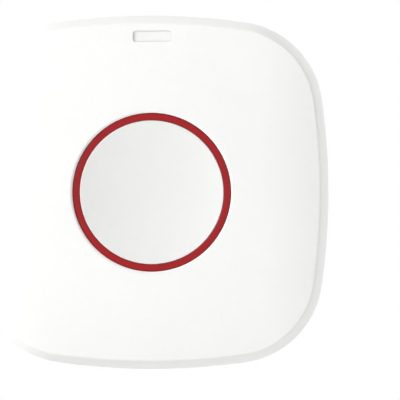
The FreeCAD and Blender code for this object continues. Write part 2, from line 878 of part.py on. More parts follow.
def battery_clip():
    """The bent strap over the cell, seen from the side: y is up, x is minus the depth."""
    body = piece("battery_clip")
    side = new_sketch(body, "side", "YZ_Plane")
    metal = s.contact_metal
    low, high = s.cell_depth - metal, board_rear
    leg = s.cell_radius + s.holder_gap + s.holder_wall + s.clip_gap
    foot = leg + metal + s.clip_foot
    corners = [(-high, foot), (metal - high, foot), (metal - high, leg + metal), (-low, leg + metal)]
    corners += [(-low, -leg - metal), (metal - high, -leg - metal), (metal - high, -foot), (-high, -foot)]
    corners += [(-high, -leg), (-low - metal, -leg), (-low - metal, leg), (-high, leg)]
    outline(side, corners)
    pad(body, side, s.clip_width, midplane=True)

    def outer_bend(edge):
        box = edge.BoundBox
        across = abs(box.XLength - s.clip_width.number) < near
        on_strap = abs(-box.YMax - low.number) < near
        return across and on_strap and abs(abs(box.ZMax) - (leg + metal).number) < near

    def inner_bend(edge):
        box = edge.BoundBox
        across = abs(box.XLength - s.clip_width.number) < near
        on_strap = abs(-box.YMax - s.cell_depth.number) < near
        return across and on_strap and abs(abs(box.ZMax) - leg.number) < near

    round_edges(body, "outer_bend", s.bend_radius + metal, outer_bend)
    round_edges(body, "inner_bend", s.bend_radius, inner_bend)


def battery_contact():
    """The leaf under the cell, seen from the side: a foot on the board and an arm that rises to the lid."""
    body = piece("battery_contact")
    side = new_sketch(body, "side", "YZ_Plane")
    metal = s.leaf_metal
    base = board_rear
    lid = s.cell_depth + cell_thickness
    long = s.leaf_length / 2
    corners = [(-base, -long), (-base, -long + s.leaf_foot), (-lid - metal, long - s.leaf_tip), (-lid - metal, long)]
    corners += [(-lid, long), (-lid, long - s.leaf_tip), (metal - base, -long + s.leaf_foot), (metal - base, -long)]
    outline(side, corners)
    pad(body, side, s.contact_width, midplane=True)


def coin_cell():
    body = piece("coin_cell")
    section = new_sketch(body, "section", "XY_Plane")
    rear, front = s.cell_depth, s.cell_depth + cell_thickness
    rim, soft = s.cell_radius, s.cell_edge_round
    lid_radius = rim - s.cell_lid_inset
    step = s.cell_lid_step
    corners = [
        (size_of(0), -rear),
        (rim - soft, -rear, -soft),
        (rim, -rear - soft),
        (rim, soft + step - front, -soft),
        (rim - soft, step - front),
        (lid_radius + step, step - front),
        (lid_radius, -front),
        (size_of(0), -front),
    ]
    outline(section, corners)
    turn(body, section)


def push_switch():
    body = piece("switch_base")
    top = board_front + s.switch_body
    box_pad(body, "block", board_front, s.switch_body, 0, 0, s.switch_size, s.switch_size)
    well = new_sketch(body, "well", depth=top)
    circle(well, 0, 0, s.switch_stem_radius + s.switch_stem_gap)
    stem_low = stem_top - s.switch_stem_length
    pocket(body, well, top - stem_low + s.cap_travel + s.switch_stem_gap)
    pin = s.switch_size / 2 + s.switch_pin / 2 - s.switch_plate / 2
    pins = []
    for across in (-1, 1):
        for up in (-1, 1):
            name = f"pin_{len(pins) + 1}"
            place = (across * pin, up * s.switch_pin_place)
            size = (s.switch_pin + s.switch_plate, s.switch_pin_width)
            pins.append(box_pad(body, name, board_front, s.contact_metal, *place, *size))
    rivet_place = s.switch_size / 2 - s.switch_rivet_inset
    rivet = ring_pad(body, "rivet", top, s.switch_rivet_height, s.switch_rivet, x=rivet_place, y=rivet_place)
    around(body, [rivet], rivet.Profile[0], rivet_count)

    body = piece("switch_plate")
    side = s.switch_size - s.switch_plate
    sheet_metal = new_sketch(body, "sheet", depth=top)
    rounded_rectangle(sheet_metal, size_of(0), size_of(0), side, side, s.switch_rivet)
    circle(sheet_metal, 0, 0, s.switch_stem_radius + 2 * s.switch_stem_gap)
    for across in (-1, 1):
        for up in (-1, 1):
            circle(sheet_metal, across * rivet_place, up * rivet_place, s.switch_rivet + s.window_fit)
    pad(body, sheet_metal, s.switch_plate)

    body = piece("switch_stem")
    ring_pad(body, "stem", stem_low, s.switch_stem_length, s.switch_stem_radius)

    def at_top(edge):
        return depth_range(edge)[0] > stem_top.number - near

    round_edges(body, "top", s.switch_plate / 2, at_top, kind="Chamfer")


def radio():
    body = piece("radio_module")
    tube = guide_bore + s.guide_tube_wall
    x, y = s.radio_margin - tube - s.radio_gap - s.radio_width / 2, s.radio_y
    box_pad(body, "board", board_front, s.radio_board, x, y, s.radio_width, s.radio_height)
    body = piece("shield_can")
    low = board_front + s.radio_board
    margin = 2 * s.radio_margin
    width, height = s.radio_width - margin, s.radio_height - margin
    box_pad(body, "can", low, s.shield_height, x, y, width, height)

    def on_top(edge):
        at_top = depth_range(edge)[0] > (low + s.shield_height).number - near
        return at_top or edge.BoundBox.YLength > s.shield_round.number

    round_edges(body, "corners", s.shield_round, on_top)
    body = piece("antenna")
    antenna_x = s.half_size - s.antenna_inset
    path = new_sketch(body, "path", "YZ_Plane", depth=antenna_x)
    low, high = board_front, board_front + s.antenna_rise
    bend = s.antenna_bend
    half = s.antenna_length / 2
    corners = [
        (-low, -half),
        (bend - high, -half, -bend),
        (-high, bend - half),
        (-high, half - bend, -bend),
        (bend - high, half),
        (-low, half),
    ]
    outline(path, corners, closed=False)
    wire = new_sketch(body, "wire", depth=low)
    circle(wire, antenna_x, -half, s.antenna_wire)
    sweep = body.newObject("PartDesign::AdditivePipe", "antenna_sweep")
    sweep.Profile = wire
    sweep.Spine = path


def small_electronics():
    body = piece("microcontroller")
    x, y, side = s.chip_x, s.chip_inset - s.half_size, s.chip_size
    box_pad(body, "package", board_front, s.chip_height, x, y, side, side)
    mark = new_sketch(body, "mark", depth=board_front + s.chip_height)
    corner = side / 2 - 2 * s.chip_mark
    circle(mark, x - corner, y + corner, s.chip_mark)
    pocket(body, mark, s.chip_mark_depth)

    body = piece("crystal")
    sketch = new_sketch(body, "can", depth=board_front)
    size = (s.crystal_width, s.crystal_height)
    rounded_rectangle(sketch, x, y - side, *size, s.crystal_corner)
    pad(body, sketch, s.crystal_thickness)

    body = piece("bulk_capacitor")
    size = (s.capacitor_width, s.capacitor_height)
    up = s.half_size - s.capacitor_inset
    box_pad(body, "block", board_front, s.capacitor_thickness, s.capacitor_x, up, *size)

    def long_top(edge):
        return depth_range(edge)[0] > (board_front + s.capacitor_thickness).number - near

    round_edges(body, "top", s.crystal_corner, long_top, kind="Chamfer")

    body = piece("indicator_diode")
    up = slot_up - s.window_leg_step / 2
    box_pad(body, "block", board_front, s.diode_height, 0, up, s.part_length, s.part_width)

    body = piece("chip_parts")
    body.AllowCompound = True
    spots = new_sketch(body, "spots", depth=board_front)
    row = s.half_size - s.part_row_inset
    for index in range(SIZES["part_count"]):
        step = s.part_pitch * (index - (s.part_count - 1) / 2)
        rectangle(spots, s.part_row_x + step, row, s.part_width, s.part_length)
        rectangle(spots, x - side - s.part_pitch, y - step, s.part_length, s.part_width)
    pad(body, spots, s.part_height)


def rear_cover():
    body = piece("rear_cover")
    levels = [("wall_face", size_of(0), s.rear_face_inset), ("flank", seam_rear / 2, s.rear_flank_inset)]
    levels.append(("seam", seam_rear, size_of(0)))
    sketches = []
    for name, depth, inset in levels:
        sketches.append(new_sketch(body, name, depth=depth))
        soft_square(sketches[-1], inset)
    loft(body, sketches)

    def on_wall_face(edge):
        return depth_range(edge)[1] < near

    round_edges(body, "wall_edge", s.rear_edge_round, on_wall_face)
    spigot = new_sketch(body, "spigot", depth=seam_rear)
    soft_square(spigot, spigot_inset)
    pad(body, spigot, spigot_top - seam_rear)
    hollow = new_sketch(body, "hollow", depth=spigot_top)
    soft_square(hollow, spigot_inset + s.spigot_wall)
    pocket(body, hollow, spigot_top - s.rear_wall)
    groove = new_sketch(body, "groove", depth=seam_rear)
    soft_square(groove, gasket_inset)
    soft_square(groove, gasket_inset + s.gasket_width)
    pocket(body, groove, s.gasket_groove)

    # snaps on the four sides of the spigot
    snap = new_sketch(body, "snap", "YZ_Plane")
    base = s.half_size - spigot_inset
    root_line, tip = base - s.spigot_wall / 2, base + s.snap_reach
    low, high = snap_low, snap_low + s.snap_height
    corners = [(-low, root_line), (-low, base), (-low - s.snap_ramp, tip)]
    corners += [(s.snap_ramp - high, tip), (-high, base), (-high, root_line)]
    outline(snap, corners)
    snap_pad = pad(body, snap, s.snap_width, midplane=True)
    around(body, [snap_pad], hollow, snap_count)

    # notch in the lower edge, where a coin parts the covers
    notch = new_sketch(body, "notch", depth=seam_rear)
    notch_middle = (s.notch_reach - s.overrun) / 2 - s.half_size
    rectangle(notch, size_of(0), notch_middle, s.notch_width, s.notch_reach + s.overrun)
    pocket(body, notch, s.notch_height)

    # bosses and holes of the wall screws
    boss_height = s.wall_boss_depth - s.rear_wall
    reach = s.wall_hole_spacing / 2
    for side in (-1, 1):
        name = "left" if side < 0 else "right"
        ring_pad(body, f"boss_{name}", s.rear_wall, boss_height, s.wall_boss_radius, x=side * reach)
        stop = s.half_size - spigot_inset - s.spigot_wall / 2
        start = reach + s.wall_boss_radius - s.rib_root
        middle = side * (start + stop) / 2
        box_pad(body, f"rib_{name}", s.rear_wall, boss_height, middle, 0, stop - start, s.rib_thickness)
        rest_x = side * s.cell_rest_place
        rest = (s.rib_thickness, s.cell_rest_length)
        box_pad(body, f"rest_{name}", s.rear_wall, s.cell_depth - s.rear_wall - s.cell_rest_gap, rest_x, 0, *rest)
    seat = new_sketch(body, "seat", depth=s.wall_boss_depth)
    hole = new_sketch(body, "hole", depth=s.wall_boss_depth)
    for side in (-1, 1):
        circle(seat, side * reach, 0, s.wall_seat_radius)
        circle(hole, side * reach, 0, s.wall_hole_radius)
    pocket(body, seat, s.wall_boss_depth - s.wall_seat_depth)
    pocket(body, hole, s.wall_boss_depth)


def housing_gasket():
    body = piece("housing_gasket")
    groove_floor = seam_rear - s.gasket_groove
    cord = new_sketch(body, "cord", depth=groove_floor)
    soft_square(cord, gasket_inset + s.window_fit)
    soft_square(cord, gasket_inset + s.gasket_width - s.window_fit)
    pad(body, cord, seam - groove_floor)


makers = [front_cover, alarm_ring, button_cap, button_guide, return_spring, indicator_window]
makers += [circuit_board, board_screws, battery_holder, battery_clip, battery_contact, coin_cell]
makers += [push_switch, radio, small_electronics, rear_cover, housing_gasket]
for maker in makers:
    maker()
    doc.recompute()
    print("made", maker.__name__)

failed = [item.Name for item in doc.Objects if "Invalid" in item.State or "Error" in item.State]
failed += [name for name, body in nodes.items() if body.Shape.isNull() or not body.Shape.isValid()]
if failed:
    raise RuntimeError(f"these did not build: {failed}")
for name, body in nodes.items():
    body.Shape.exportStep(f"parts/{name}.step")
    print(name, len(body.Shape.Solids), "solids", round(body.Shape.Volume, 2), "mm3")
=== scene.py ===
import json
import math

import bmesh
import bpy
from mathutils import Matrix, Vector


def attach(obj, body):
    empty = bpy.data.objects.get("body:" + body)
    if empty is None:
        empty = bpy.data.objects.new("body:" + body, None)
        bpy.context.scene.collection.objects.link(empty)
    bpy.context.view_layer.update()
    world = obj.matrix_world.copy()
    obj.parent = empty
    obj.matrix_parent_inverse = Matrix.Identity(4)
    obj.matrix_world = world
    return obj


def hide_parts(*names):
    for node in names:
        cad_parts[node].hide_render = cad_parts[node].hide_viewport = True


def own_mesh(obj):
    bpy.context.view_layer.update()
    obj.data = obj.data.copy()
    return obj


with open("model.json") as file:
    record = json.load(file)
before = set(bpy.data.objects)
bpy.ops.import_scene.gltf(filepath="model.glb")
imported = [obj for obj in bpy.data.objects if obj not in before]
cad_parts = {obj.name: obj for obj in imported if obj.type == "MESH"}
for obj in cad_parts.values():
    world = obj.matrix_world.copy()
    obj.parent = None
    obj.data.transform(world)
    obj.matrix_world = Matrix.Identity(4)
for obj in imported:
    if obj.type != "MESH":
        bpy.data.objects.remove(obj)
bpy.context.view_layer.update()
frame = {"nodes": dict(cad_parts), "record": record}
cadNodes = frame["nodes"]
bodyOf = {node: body for body, members in frame["record"]["behaviour"]["bodies"].items() for node in members}
print("frame loaded:", len(cadNodes), "nodes")

# The object hangs upright with its back on the plane y = 0. The front looks along -Y, +X is right and +Z
# is up. A depth is a distance from that plane, counted towards the front. All lengths are in metres.


# small helpers, most of them for node trees of shaders and of shapes

def link(item):
    bpy.context.collection.objects.link(item)
    return item


def feed(tree, socket, value):
    # a socket takes either a link or a plain value
    if isinstance(value, bpy.types.NodeSocket):
        tree.links.new(value, socket)
    else:
        socket.default_value = value


def step(tree, kind, inputs, **settings):
    node = tree.nodes.new(kind)
    for label, value in settings.items():
        setattr(node, label, value)
    for label, value in inputs.items():
        feed(tree, node.inputs[label], value)
    return node


def calc(tree, operation, *values):
    node = tree.nodes.new("ShaderNodeMath")
    node.operation = operation
    for socket, value in zip(node.inputs, values):
        feed(tree, socket, value)
    return node.outputs[0]


def rampBetween(tree, value, low, high, fromLevel, toLevel):
    levels = {"Value": value, "From Min": low, "From Max": high, "To Min": fromLevel, "To Max": toLevel}
    return step(tree, "ShaderNodeMapRange", levels, interpolation_type="SMOOTHSTEP").outputs["Result"]


def blend(tree, share, first, second):
    levels = {"Factor": share, "A": first, "B": second}
    return step(tree, "ShaderNodeMix", levels, data_type="RGBA").outputs["Result"]


# camera

camera = {
    "lens": 1500.0,  # a very long lens, because the photograph shows no perspective
    "sensor": 36.0,
    "nearest": 0.05,
    "farthest": 20.0,
    "x": 0.00843,
    "z": -0.00135,
    "distance": 2.914,  # from the highest point of the front
    "front": 0.0162,  # the depth of that point
}


def makeCamera():
    data = bpy.data.cameras.new("photoCamera")
    data.lens = camera["lens"]
    data.sensor_width = camera["sensor"]
    data.clip_start = camera["nearest"]
    data.clip_end = camera["farthest"]
    holder = link(bpy.data.objects.new("photoCamera", data))
    holder.location = (camera["x"], -camera["front"] - camera["distance"], camera["z"])
    holder.rotation_euler = (math.radians(90), 0, 0)
    bpy.context.scene.camera = holder


# light of the room, as ramps over the direction: axis, where it starts and ends, and its level there

roomLevels = {
    "depth": ("Y", -0.45, 0.05, 0.285, 2.55),  # dim on the camera's side, bright at the sides and behind
    "rear": ("Y", 0.15, 0.9, 1.0, 0.72),  # less from straight behind
    "left": ("X", -0.6, 0.1, 0.0, 1.0),  # none from the key's side, so that the wall there keeps its tone
    "right": ("X", 0.2, 0.9, 1.0, 0.42),  # less from the other side
    "above": ("Z", 0.15, 0.8, 1.0, 0.95),  # a little less from above
    "behind": ("Y", -0.42, -0.05, 0.0, 1.0),  # the three rows above count from here on, not in front
}


def makeRoom():
    world = bpy.data.worlds.new("whiteRoom")
    bpy.context.scene.world = world
    world.use_nodes = True
    tree = world.node_tree
    tree.nodes.clear()
    place = step(tree, "ShaderNodeTexCoord", {}).outputs["Generated"]
    towards = step(tree, "ShaderNodeSeparateXYZ", {"Vector": place}).outputs
    level = {name: rampBetween(tree, towards[axis], *ends) for name, (axis, *ends) in roomLevels.items()}
    depth = calc(tree, "MULTIPLY", level["depth"], level["rear"])
    sides = calc(tree, "MULTIPLY", calc(tree, "MULTIPLY", level["left"], level["right"]), level["above"])
    loss = calc(tree, "MULTIPLY", calc(tree, "SUBTRACT", 1.0, sides), level["behind"])
    share = calc(tree, "SUBTRACT", 1.0, loss)
    room = step(tree, "ShaderNodeBackground", {"Strength": calc(tree, "MULTIPLY", depth, share)})
    # the camera, mirrors and glass see plain white
    white = step(tree, "ShaderNodeBackground", {"Color": (1, 1, 1, 1), "Strength": 1.0})
    path = step(tree, "ShaderNodeLightPath", {}).outputs
    seen = calc(tree, "MAXIMUM", path["Is Camera Ray"], path["Is Glossy Ray"])
    seen = calc(tree, "MAXIMUM", seen, path["Is Transmission Ray"])
    mix = step(tree, "ShaderNodeMixShader", {"Fac": seen, 1: room.outputs[0], 2: white.outputs[0]})
    step(tree, "ShaderNodeOutputWorld", {"Surface": mix.outputs[0]})


# lamps

lamps = {
    "keySoftbox": {"place": (-1.47, -0.90, 0.52), "size": 0.84, "power": 29.7},  # upper left of the front
    "fillSoftbox": {"place": (1.25, -1.1, 0.55), "size": 1.0, "power": 2.8},  # weak, upper right of the front
}


def makeLamp(name, values):
    data = bpy.data.lights.new(name, "AREA")
    data.shape = "DISK"
    data.size = values["size"]
    data.energy = values["power"]
    lamp = link(bpy.data.objects.new(name, data))
    lamp.location = values["place"]
    lamp.rotation_mode = "QUATERNION"
    lamp.rotation_quaternion = Vector(values["place"]).to_track_quat("Z", "Y")
    lamp.visible_camera = False


# floor: a sheet of paper under the part

floorPaper = {
    "height": -0.045,
    "back": 0.19,  # how far it reaches behind the plane y = 0
    "spread": 1.14,  # to both sides and to the front
    "colour": (0.92, 0.92, 0.915, 1),
    "seen": (0.60, 0.60, 0.598, 1),  # a little darker for the camera, so that white edges stand out
    "roughness": 0.8,
    "fade": (0.22, 0.75),  # distances between which the floor fades into the white background
    "backFade": (0.038, 0.1805),  # the same, straight towards the back
}


def makeFloor():
    mesh = bpy.data.meshes.new("studioFloor")
    spread, back, height = floorPaper["spread"], floorPaper["back"], floorPaper["height"]
    corners = [(-spread, -spread, height), (spread, -spread, height)]
    corners += [(spread, back, height), (-spread, back, height)]
    mesh.from_pydata(corners, [], [(0, 1, 2, 3)])
    floor = link(bpy.data.objects.new("studioFloor", mesh))
    paper = bpy.data.materials.new("floorPaper")
    paper.use_nodes = True
    tree = paper.node_tree
    shader = tree.nodes["Principled BSDF"]
    shader.inputs["Roughness"].default_value = floorPaper["roughness"]
    path = step(tree, "ShaderNodeLightPath", {}).outputs
    tone = blend(tree, path["Is Camera Ray"], floorPaper["colour"], floorPaper["seen"])
    feed(tree, shader.inputs["Base Color"], tone)
    # far from the object the camera sees the white of the room, and the light stays as it is
    place = step(tree, "ShaderNodeTexCoord", {}).outputs["Object"]
    away = step(tree, "ShaderNodeVectorMath", {0: place}, operation="LENGTH").outputs["Value"]
    behind = step(tree, "ShaderNodeSeparateXYZ", {"Vector": place}).outputs["Y"]
    far = rampBetween(tree, away, *floorPaper["fade"], 0.0, 1.0)
    far = calc(tree, "MAXIMUM", far, rampBetween(tree, behind, *floorPaper["backFade"], 0.0, 1.0))
    seen = calc(tree, "MULTIPLY", far, path["Is Camera Ray"])
    glow = step(tree, "ShaderNodeEmission", {"Strength": 1.0}).outputs[0]
    mix = step(tree, "ShaderNodeMixShader", {"Fac": seen, 1: shader.outputs[0], 2: glow})
    feed(tree, tree.nodes["Material Output"].inputs["Surface"], mix.outputs[0])
    mesh.materials.append(paper)


makeCamera()
makeRoom()
for lampName, lampValues in lamps.items():
    makeLamp(lampName, lampValues)
makeFloor()
bpy.context.scene.view_settings.view_transform = "Standard"
print("camera and studio ready")


# effects that several finishes share, as node groups

effects = {
    "flowScale": 150.0,  # of the waves that the melt leaves as it flows
    "fineTimes": 9.0,  # how much finer the second noise of a tone is
    "fineShare": 0.3,  # of the second noise in a tone
    "toneRamp": (0.35, 0.65),
    "edgeSamples": 4,
    "edgeRamp": (0.88, 0.995),  # how alike the true and the rounded normal are
    "patchRamp": (0.4, 0.65),
    "patchLeast": 0.25,  # of the rub, between its patches
    "lineRamp": (0.35, 0.65),
}


def newGroup(name, inputs, outputs):
    tree = bpy.data.node_groups.new(name, "ShaderNodeTree")
    for label, kind, value in inputs:
        socket = tree.interface.new_socket(label, in_out="INPUT", socket_type=kind)
        socket.default_value = value
    for label, kind in outputs:
        tree.interface.new_socket(label, in_out="OUTPUT", socket_type=kind)
    return tree, tree.nodes.new("NodeGroupInput").outputs, tree.nodes.new("NodeGroupOutput").inputs


def objectPlace(tree, stretch=None):
    place = step(tree, "ShaderNodeTexCoord", {}).outputs["Object"]
    if stretch is None:
        return place
    return step(tree, "ShaderNodeMapping", {"Vector": place, "Scale": stretch}).outputs["Vector"]


def objectNoise(tree, scale, detail=2.0, roughness=0.5, stretch=None):
    values = {"Vector": objectPlace(tree, stretch), "Scale": scale, "Detail": detail, "Roughness": roughness}
    return step(tree, "ShaderNodeTexNoise", values).outputs["Fac"]


def raised(tree, height, depth, under=None):
    # a bump whose height is in metres, over another one where there is one
    values = {"Strength": 1.0, "Distance": depth, "Height": height}
    if under is not None:
        values["Normal"] = under
    return step(tree, "ShaderNodeBump", values).outputs["Normal"]


def makeGrainGroup():
    # fine skin of a spark-eroded mould, over the faint waves of the melt
    inputs = [("Scale", "NodeSocketFloat", 5200.0), ("Depth", "NodeSocketFloat", 0.000004)]
    inputs.append(("Flow Depth", "NodeSocketFloat", 0.000006))
    tree, entry, leave = newGroup("mouldGrain", inputs, [("Normal", "NodeSocketVector")])
    grain = objectNoise(tree, entry["Scale"], detail=3.0, roughness=0.6)
    waves = raised(tree, objectNoise(tree, effects["flowScale"], detail=1.0), entry["Flow Depth"])
    feed(tree, leave["Normal"], raised(tree, grain, entry["Depth"], under=waves))
    return tree


def makeDriftGroup():
    # slow change of tone, with a second finer one that breaks it up
    inputs = [("Colour", "NodeSocketColor", (0.8, 0.8, 0.8, 1))]
    inputs += [("Tint", "NodeSocketColor", (0.7, 0.7, 0.6, 1)), ("Amount", "NodeSocketFloat", 0.04)]
    inputs.append(("Scale", "NodeSocketFloat", 60.0))
    tree, entry, leave = newGroup("toneDrift", inputs, [("Colour", "NodeSocketColor")])
    slow = objectNoise(tree, entry["Scale"])
    fine = objectNoise(tree, calc(tree, "MULTIPLY", entry["Scale"], effects["fineTimes"]), detail=3.0)
    slow = calc(tree, "MULTIPLY", slow, 1 - effects["fineShare"])
    both = calc(tree, "ADD", slow, calc(tree, "MULTIPLY", fine, effects["fineShare"]))
    share = calc(tree, "MULTIPLY", rampBetween(tree, both, *effects["toneRamp"], 0.0, 1.0), entry["Amount"])
    feed(tree, leave["Colour"], blend(tree, share, entry["Colour"], entry["Tint"]))
    return tree


def makePolishGroup():
    # roughness that changes a little from place to place
    inputs = [("Roughness", "NodeSocketFloat", 0.4), ("Amount", "NodeSocketFloat", 0.06)]
    inputs.append(("Scale", "NodeSocketFloat", 300.0))
    tree, entry, leave = newGroup("polishDrift", inputs, [("Roughness", "NodeSocketFloat")])
    noise = calc(tree, "SUBTRACT", objectNoise(tree, entry["Scale"], detail=4.0), 0.5)
    feed(tree, leave["Roughness"], calc(tree, "MULTIPLY_ADD", noise, entry["Amount"], entry["Roughness"]))
    return tree


def makeEdgeRubAndHighlightGroup():
    # a mask of edges, broken up by noise: edges that hands and tools have rubbed, and where a painted edge
    # highlight goes
    inputs = [("Width", "NodeSocketFloat", 0.0003), ("Patch Scale", "NodeSocketFloat", 900.0)]
    tree, entry, leave = newGroup("edgeRubAndHighlight", inputs, [("Mask", "NodeSocketFloat")])
    rounded = step(tree, "ShaderNodeBevel", {"Radius": entry["Width"]}, samples=effects["edgeSamples"])
    normals = {0: rounded.outputs["Normal"], 1: step(tree, "ShaderNodeNewGeometry", {}).outputs["Normal"]}
    likeness = step(tree, "ShaderNodeVectorMath", normals, operation="DOT_PRODUCT")
    edge = rampBetween(tree, likeness.outputs["Value"], *effects["edgeRamp"], 1.0, 0.0)
    noise = objectNoise(tree, entry["Patch Scale"], detail=3.0)
    patches = rampBetween(tree, noise, *effects["patchRamp"], effects["patchLeast"], 1.0)
    feed(tree, leave["Mask"], calc(tree, "MULTIPLY", edge, patches))
    return tree


def makeBrushGroup():
    # drawn or brushed lines, along the axis with the smallest stretch
    inputs = [("Stretch", "NodeSocketVector", (200.0, 6000.0, 6000.0))]
    inputs.append(("Depth", "NodeSocketFloat", 0.0000008))
    outputs = [("Normal", "NodeSocketVector"), ("Lines", "NodeSocketFloat")]
    tree, entry, leave = newGroup("brushedLines", inputs, outputs)
    lines = objectNoise(tree, 1.0, roughness=0.7, stretch=entry["Stretch"])
    feed(tree, leave["Normal"], raised(tree, lines, entry["Depth"]))
    feed(tree, leave["Lines"], rampBetween(tree, lines, *effects["lineRamp"], 0.0, 1.0))
    return tree


def makeSpeckGroup():
    # small specks of filler or dust
    inputs = [("Scale", "NodeSocketFloat", 2500.0), ("Size", "NodeSocketFloat", 0.18)]
    tree, entry, leave = newGroup("fillerSpecks", inputs, [("Mask", "NodeSocketFloat")])
    spots = step(tree, "ShaderNodeTexVoronoi", {"Vector": objectPlace(tree), "Scale": entry["Scale"]})
    levels = {"Value": spots.outputs["Distance"], "From Min": calc(tree, "MULTIPLY", entry["Size"], 0.5)}
    levels |= {"From Max": entry["Size"], "To Min": 1.0, "To Max": 0.0}
    feed(tree, leave["Mask"], step(tree, "ShaderNodeMapRange", levels).outputs["Result"])
    return tree


grainGroup, driftGroup, polishGroup = makeGrainGroup(), makeDriftGroup(), makePolishGroup()
edgeRubAndHighlightGroup, brushGroup, speckGroup = makeEdgeRubAndHighlightGroup(), makeBrushGroup(), makeSpeckGroup()


def useGroup(tree, group, values):
    node = tree.nodes.new("ShaderNodeGroup")
    node.node_tree = group
    for label, value in values.items():
        feed(tree, node.inputs[label], value)
    return node.outputs


def startFinish(name):
    finish = bpy.data.materials.new(name)
    finish.use_nodes = True
    return finish, finish.node_tree, finish.node_tree.nodes["Principled BSDF"].inputs


def solid(colour):
    return (*colour, 1)


# plastics, rubber and ceramic, one finish for each material slot of the record

plastics = {
    "housing_white": {
        "colour": (0.87, 0.872, 0.862), "tint": (0.845, 0.85, 0.83), "drift": 0.5,
        "roughness": 0.46, "grain": 2.6e-6, "rubAndHighlight": 0.10,
    },
    "cap_white": {
        "colour": (0.775, 0.783, 0.764), "tint": (0.75, 0.76, 0.735), "drift": 0.5,
        "roughness": 0.42, "grain": 1.8e-6, "rubAndHighlight": 0.10,
    },
    "ring_red": {
        "colour": (0.33, 0.002, 0.005), "tint": (0.29, 0.001, 0.003), "drift": 0.6,
        "roughness": 0.40, "grain": 1.0e-6, "rubAndHighlight": 0.05, "pale": 0.0, "specular": 0.36,
    },
    "light_pipe": {
        "colour": (0.85, 0.855, 0.85), "tint": (0.83, 0.835, 0.82), "drift": 0.4,
        "roughness": 0.30, "grain": 0.4e-6, "rubAndHighlight": 0.02, "subsurface": 0.35,
    },
    "guide_plastic": {
        "colour": (0.78, 0.78, 0.76), "tint": (0.72, 0.72, 0.68), "drift": 0.5,
        "roughness": 0.50, "grain": 2.0e-6, "rubAndHighlight": 0.15,
    },
    "holder_plastic": {
        "colour": (0.028, 0.028, 0.030), "tint": (0.045, 0.045, 0.047), "drift": 0.6,
        "roughness": 0.50, "grain": 2.0e-6, "rubAndHighlight": 0.30, "specks": 0.25,
    },
    "switch_plastic": {
        "colour": (0.022, 0.022, 0.024), "tint": (0.035, 0.035, 0.037), "drift": 0.6,
        "roughness": 0.45, "grain": 2.0e-6, "rubAndHighlight": 0.25, "specks": 0.2,
    },
    "stem_plastic": {
        "colour": (0.035, 0.035, 0.037), "tint": (0.05, 0.05, 0.052), "drift": 0.6,
        "roughness": 0.40, "grain": 1.6e-6, "rubAndHighlight": 0.35,
    },
    "package_black": {
        "colour": (0.020, 0.020, 0.022), "tint": (0.034, 0.034, 0.036), "drift": 0.7,
        "roughness": 0.58, "grain": 3.4e-6, "rubAndHighlight": 0.20, "specks": 0.35,
    },
    "capacitor_yellow": {
        "colour": (0.62, 0.36, 0.05), "tint": (0.52, 0.29, 0.04), "drift": 0.7,
        "roughness": 0.45, "grain": 2.0e-6, "rubAndHighlight": 0.15, "specks": 0.15,
    },
    "diode_white": {
        "colour": (0.82, 0.82, 0.78), "tint": (0.80, 0.76, 0.60), "drift": 0.6,
        "roughness": 0.35, "grain": 1.0e-6, "rubAndHighlight": 0.05, "subsurface": 0.2,
    },
    "part_ceramic": {
        "colour": (0.28, 0.17, 0.10), "tint": (0.22, 0.13, 0.075), "drift": 0.8,
        "roughness": 0.50, "grain": 2.4e-6, "rubAndHighlight": 0.2, "specks": 0.3,
    },
    "gasket_rubber": {
        "colour": (0.30, 0.30, 0.30), "tint": (0.24, 0.24, 0.24), "drift": 0.8,
        "roughness": 0.75, "grain": 3.0e-6, "rubAndHighlight": 0.05, "specks": 0.4,
    },
}

plasticSurface = {
    "edgeWidth": 0.00025,
    "paleLeft": 0.8,  # of a colour's distance from white, on rubbed edges with their painted edge highlight, and on specks
    "polishDrift": 0.10,
    "rubRoughness": -0.5,  # change of roughness where an edge is rubbed, for a rubAndHighlight share of 1
    "specular": 0.5,
    "glowReach": 0.0006,  # of light inside the milky plastics
}


def makePlastic(name, values):
    finish, tree, shader = startFinish(name)
    drift = {"Colour": solid(values["colour"]), "Tint": solid(values["tint"]), "Amount": values["drift"]}
    colour = useGroup(tree, driftGroup, drift)["Colour"]
    # painted edge highlight together with rubbed wear: the colour turns paler along the edges of the mask
    rubbedAndHighlit = useGroup(tree, edgeRubAndHighlightGroup, {"Width": plasticSurface["edgeWidth"]})["Mask"]
    pale = solid([1 - (1 - part) * plasticSurface["paleLeft"] for part in values["colour"]])
    share = calc(tree, "MULTIPLY", rubbedAndHighlit, values.get("pale", values["rubAndHighlight"]))
    colour = blend(tree, share, colour, pale)
    if "specks" in values:
        specks = useGroup(tree, speckGroup, {})["Mask"]
        colour = blend(tree, calc(tree, "MULTIPLY", specks, values["specks"]), colour, pale)
    feed(tree, shader["Base Color"], colour)
    polish = {"Roughness": values["roughness"], "Amount": plasticSurface["polishDrift"]}
    polish = useGroup(tree, polishGroup, polish)["Roughness"]
    change = plasticSurface["rubRoughness"] * values["rubAndHighlight"]
    feed(tree, shader["Roughness"], calc(tree, "MULTIPLY_ADD", rubbedAndHighlit, change, polish))
    feed(tree, shader["Normal"], useGroup(tree, grainGroup, {"Depth": values["grain"]})["Normal"])
    shader["Specular IOR Level"].default_value = values.get("specular", plasticSurface["specular"])
    shader["Subsurface Weight"].default_value = values.get("subsurface", 0.0)
    shader["Subsurface Scale"].default_value = plasticSurface["glowReach"]
    shader["Subsurface Radius"].default_value = (1, 1, 1)
    return finish


# metals; their lines run along the axis with the smallest stretch

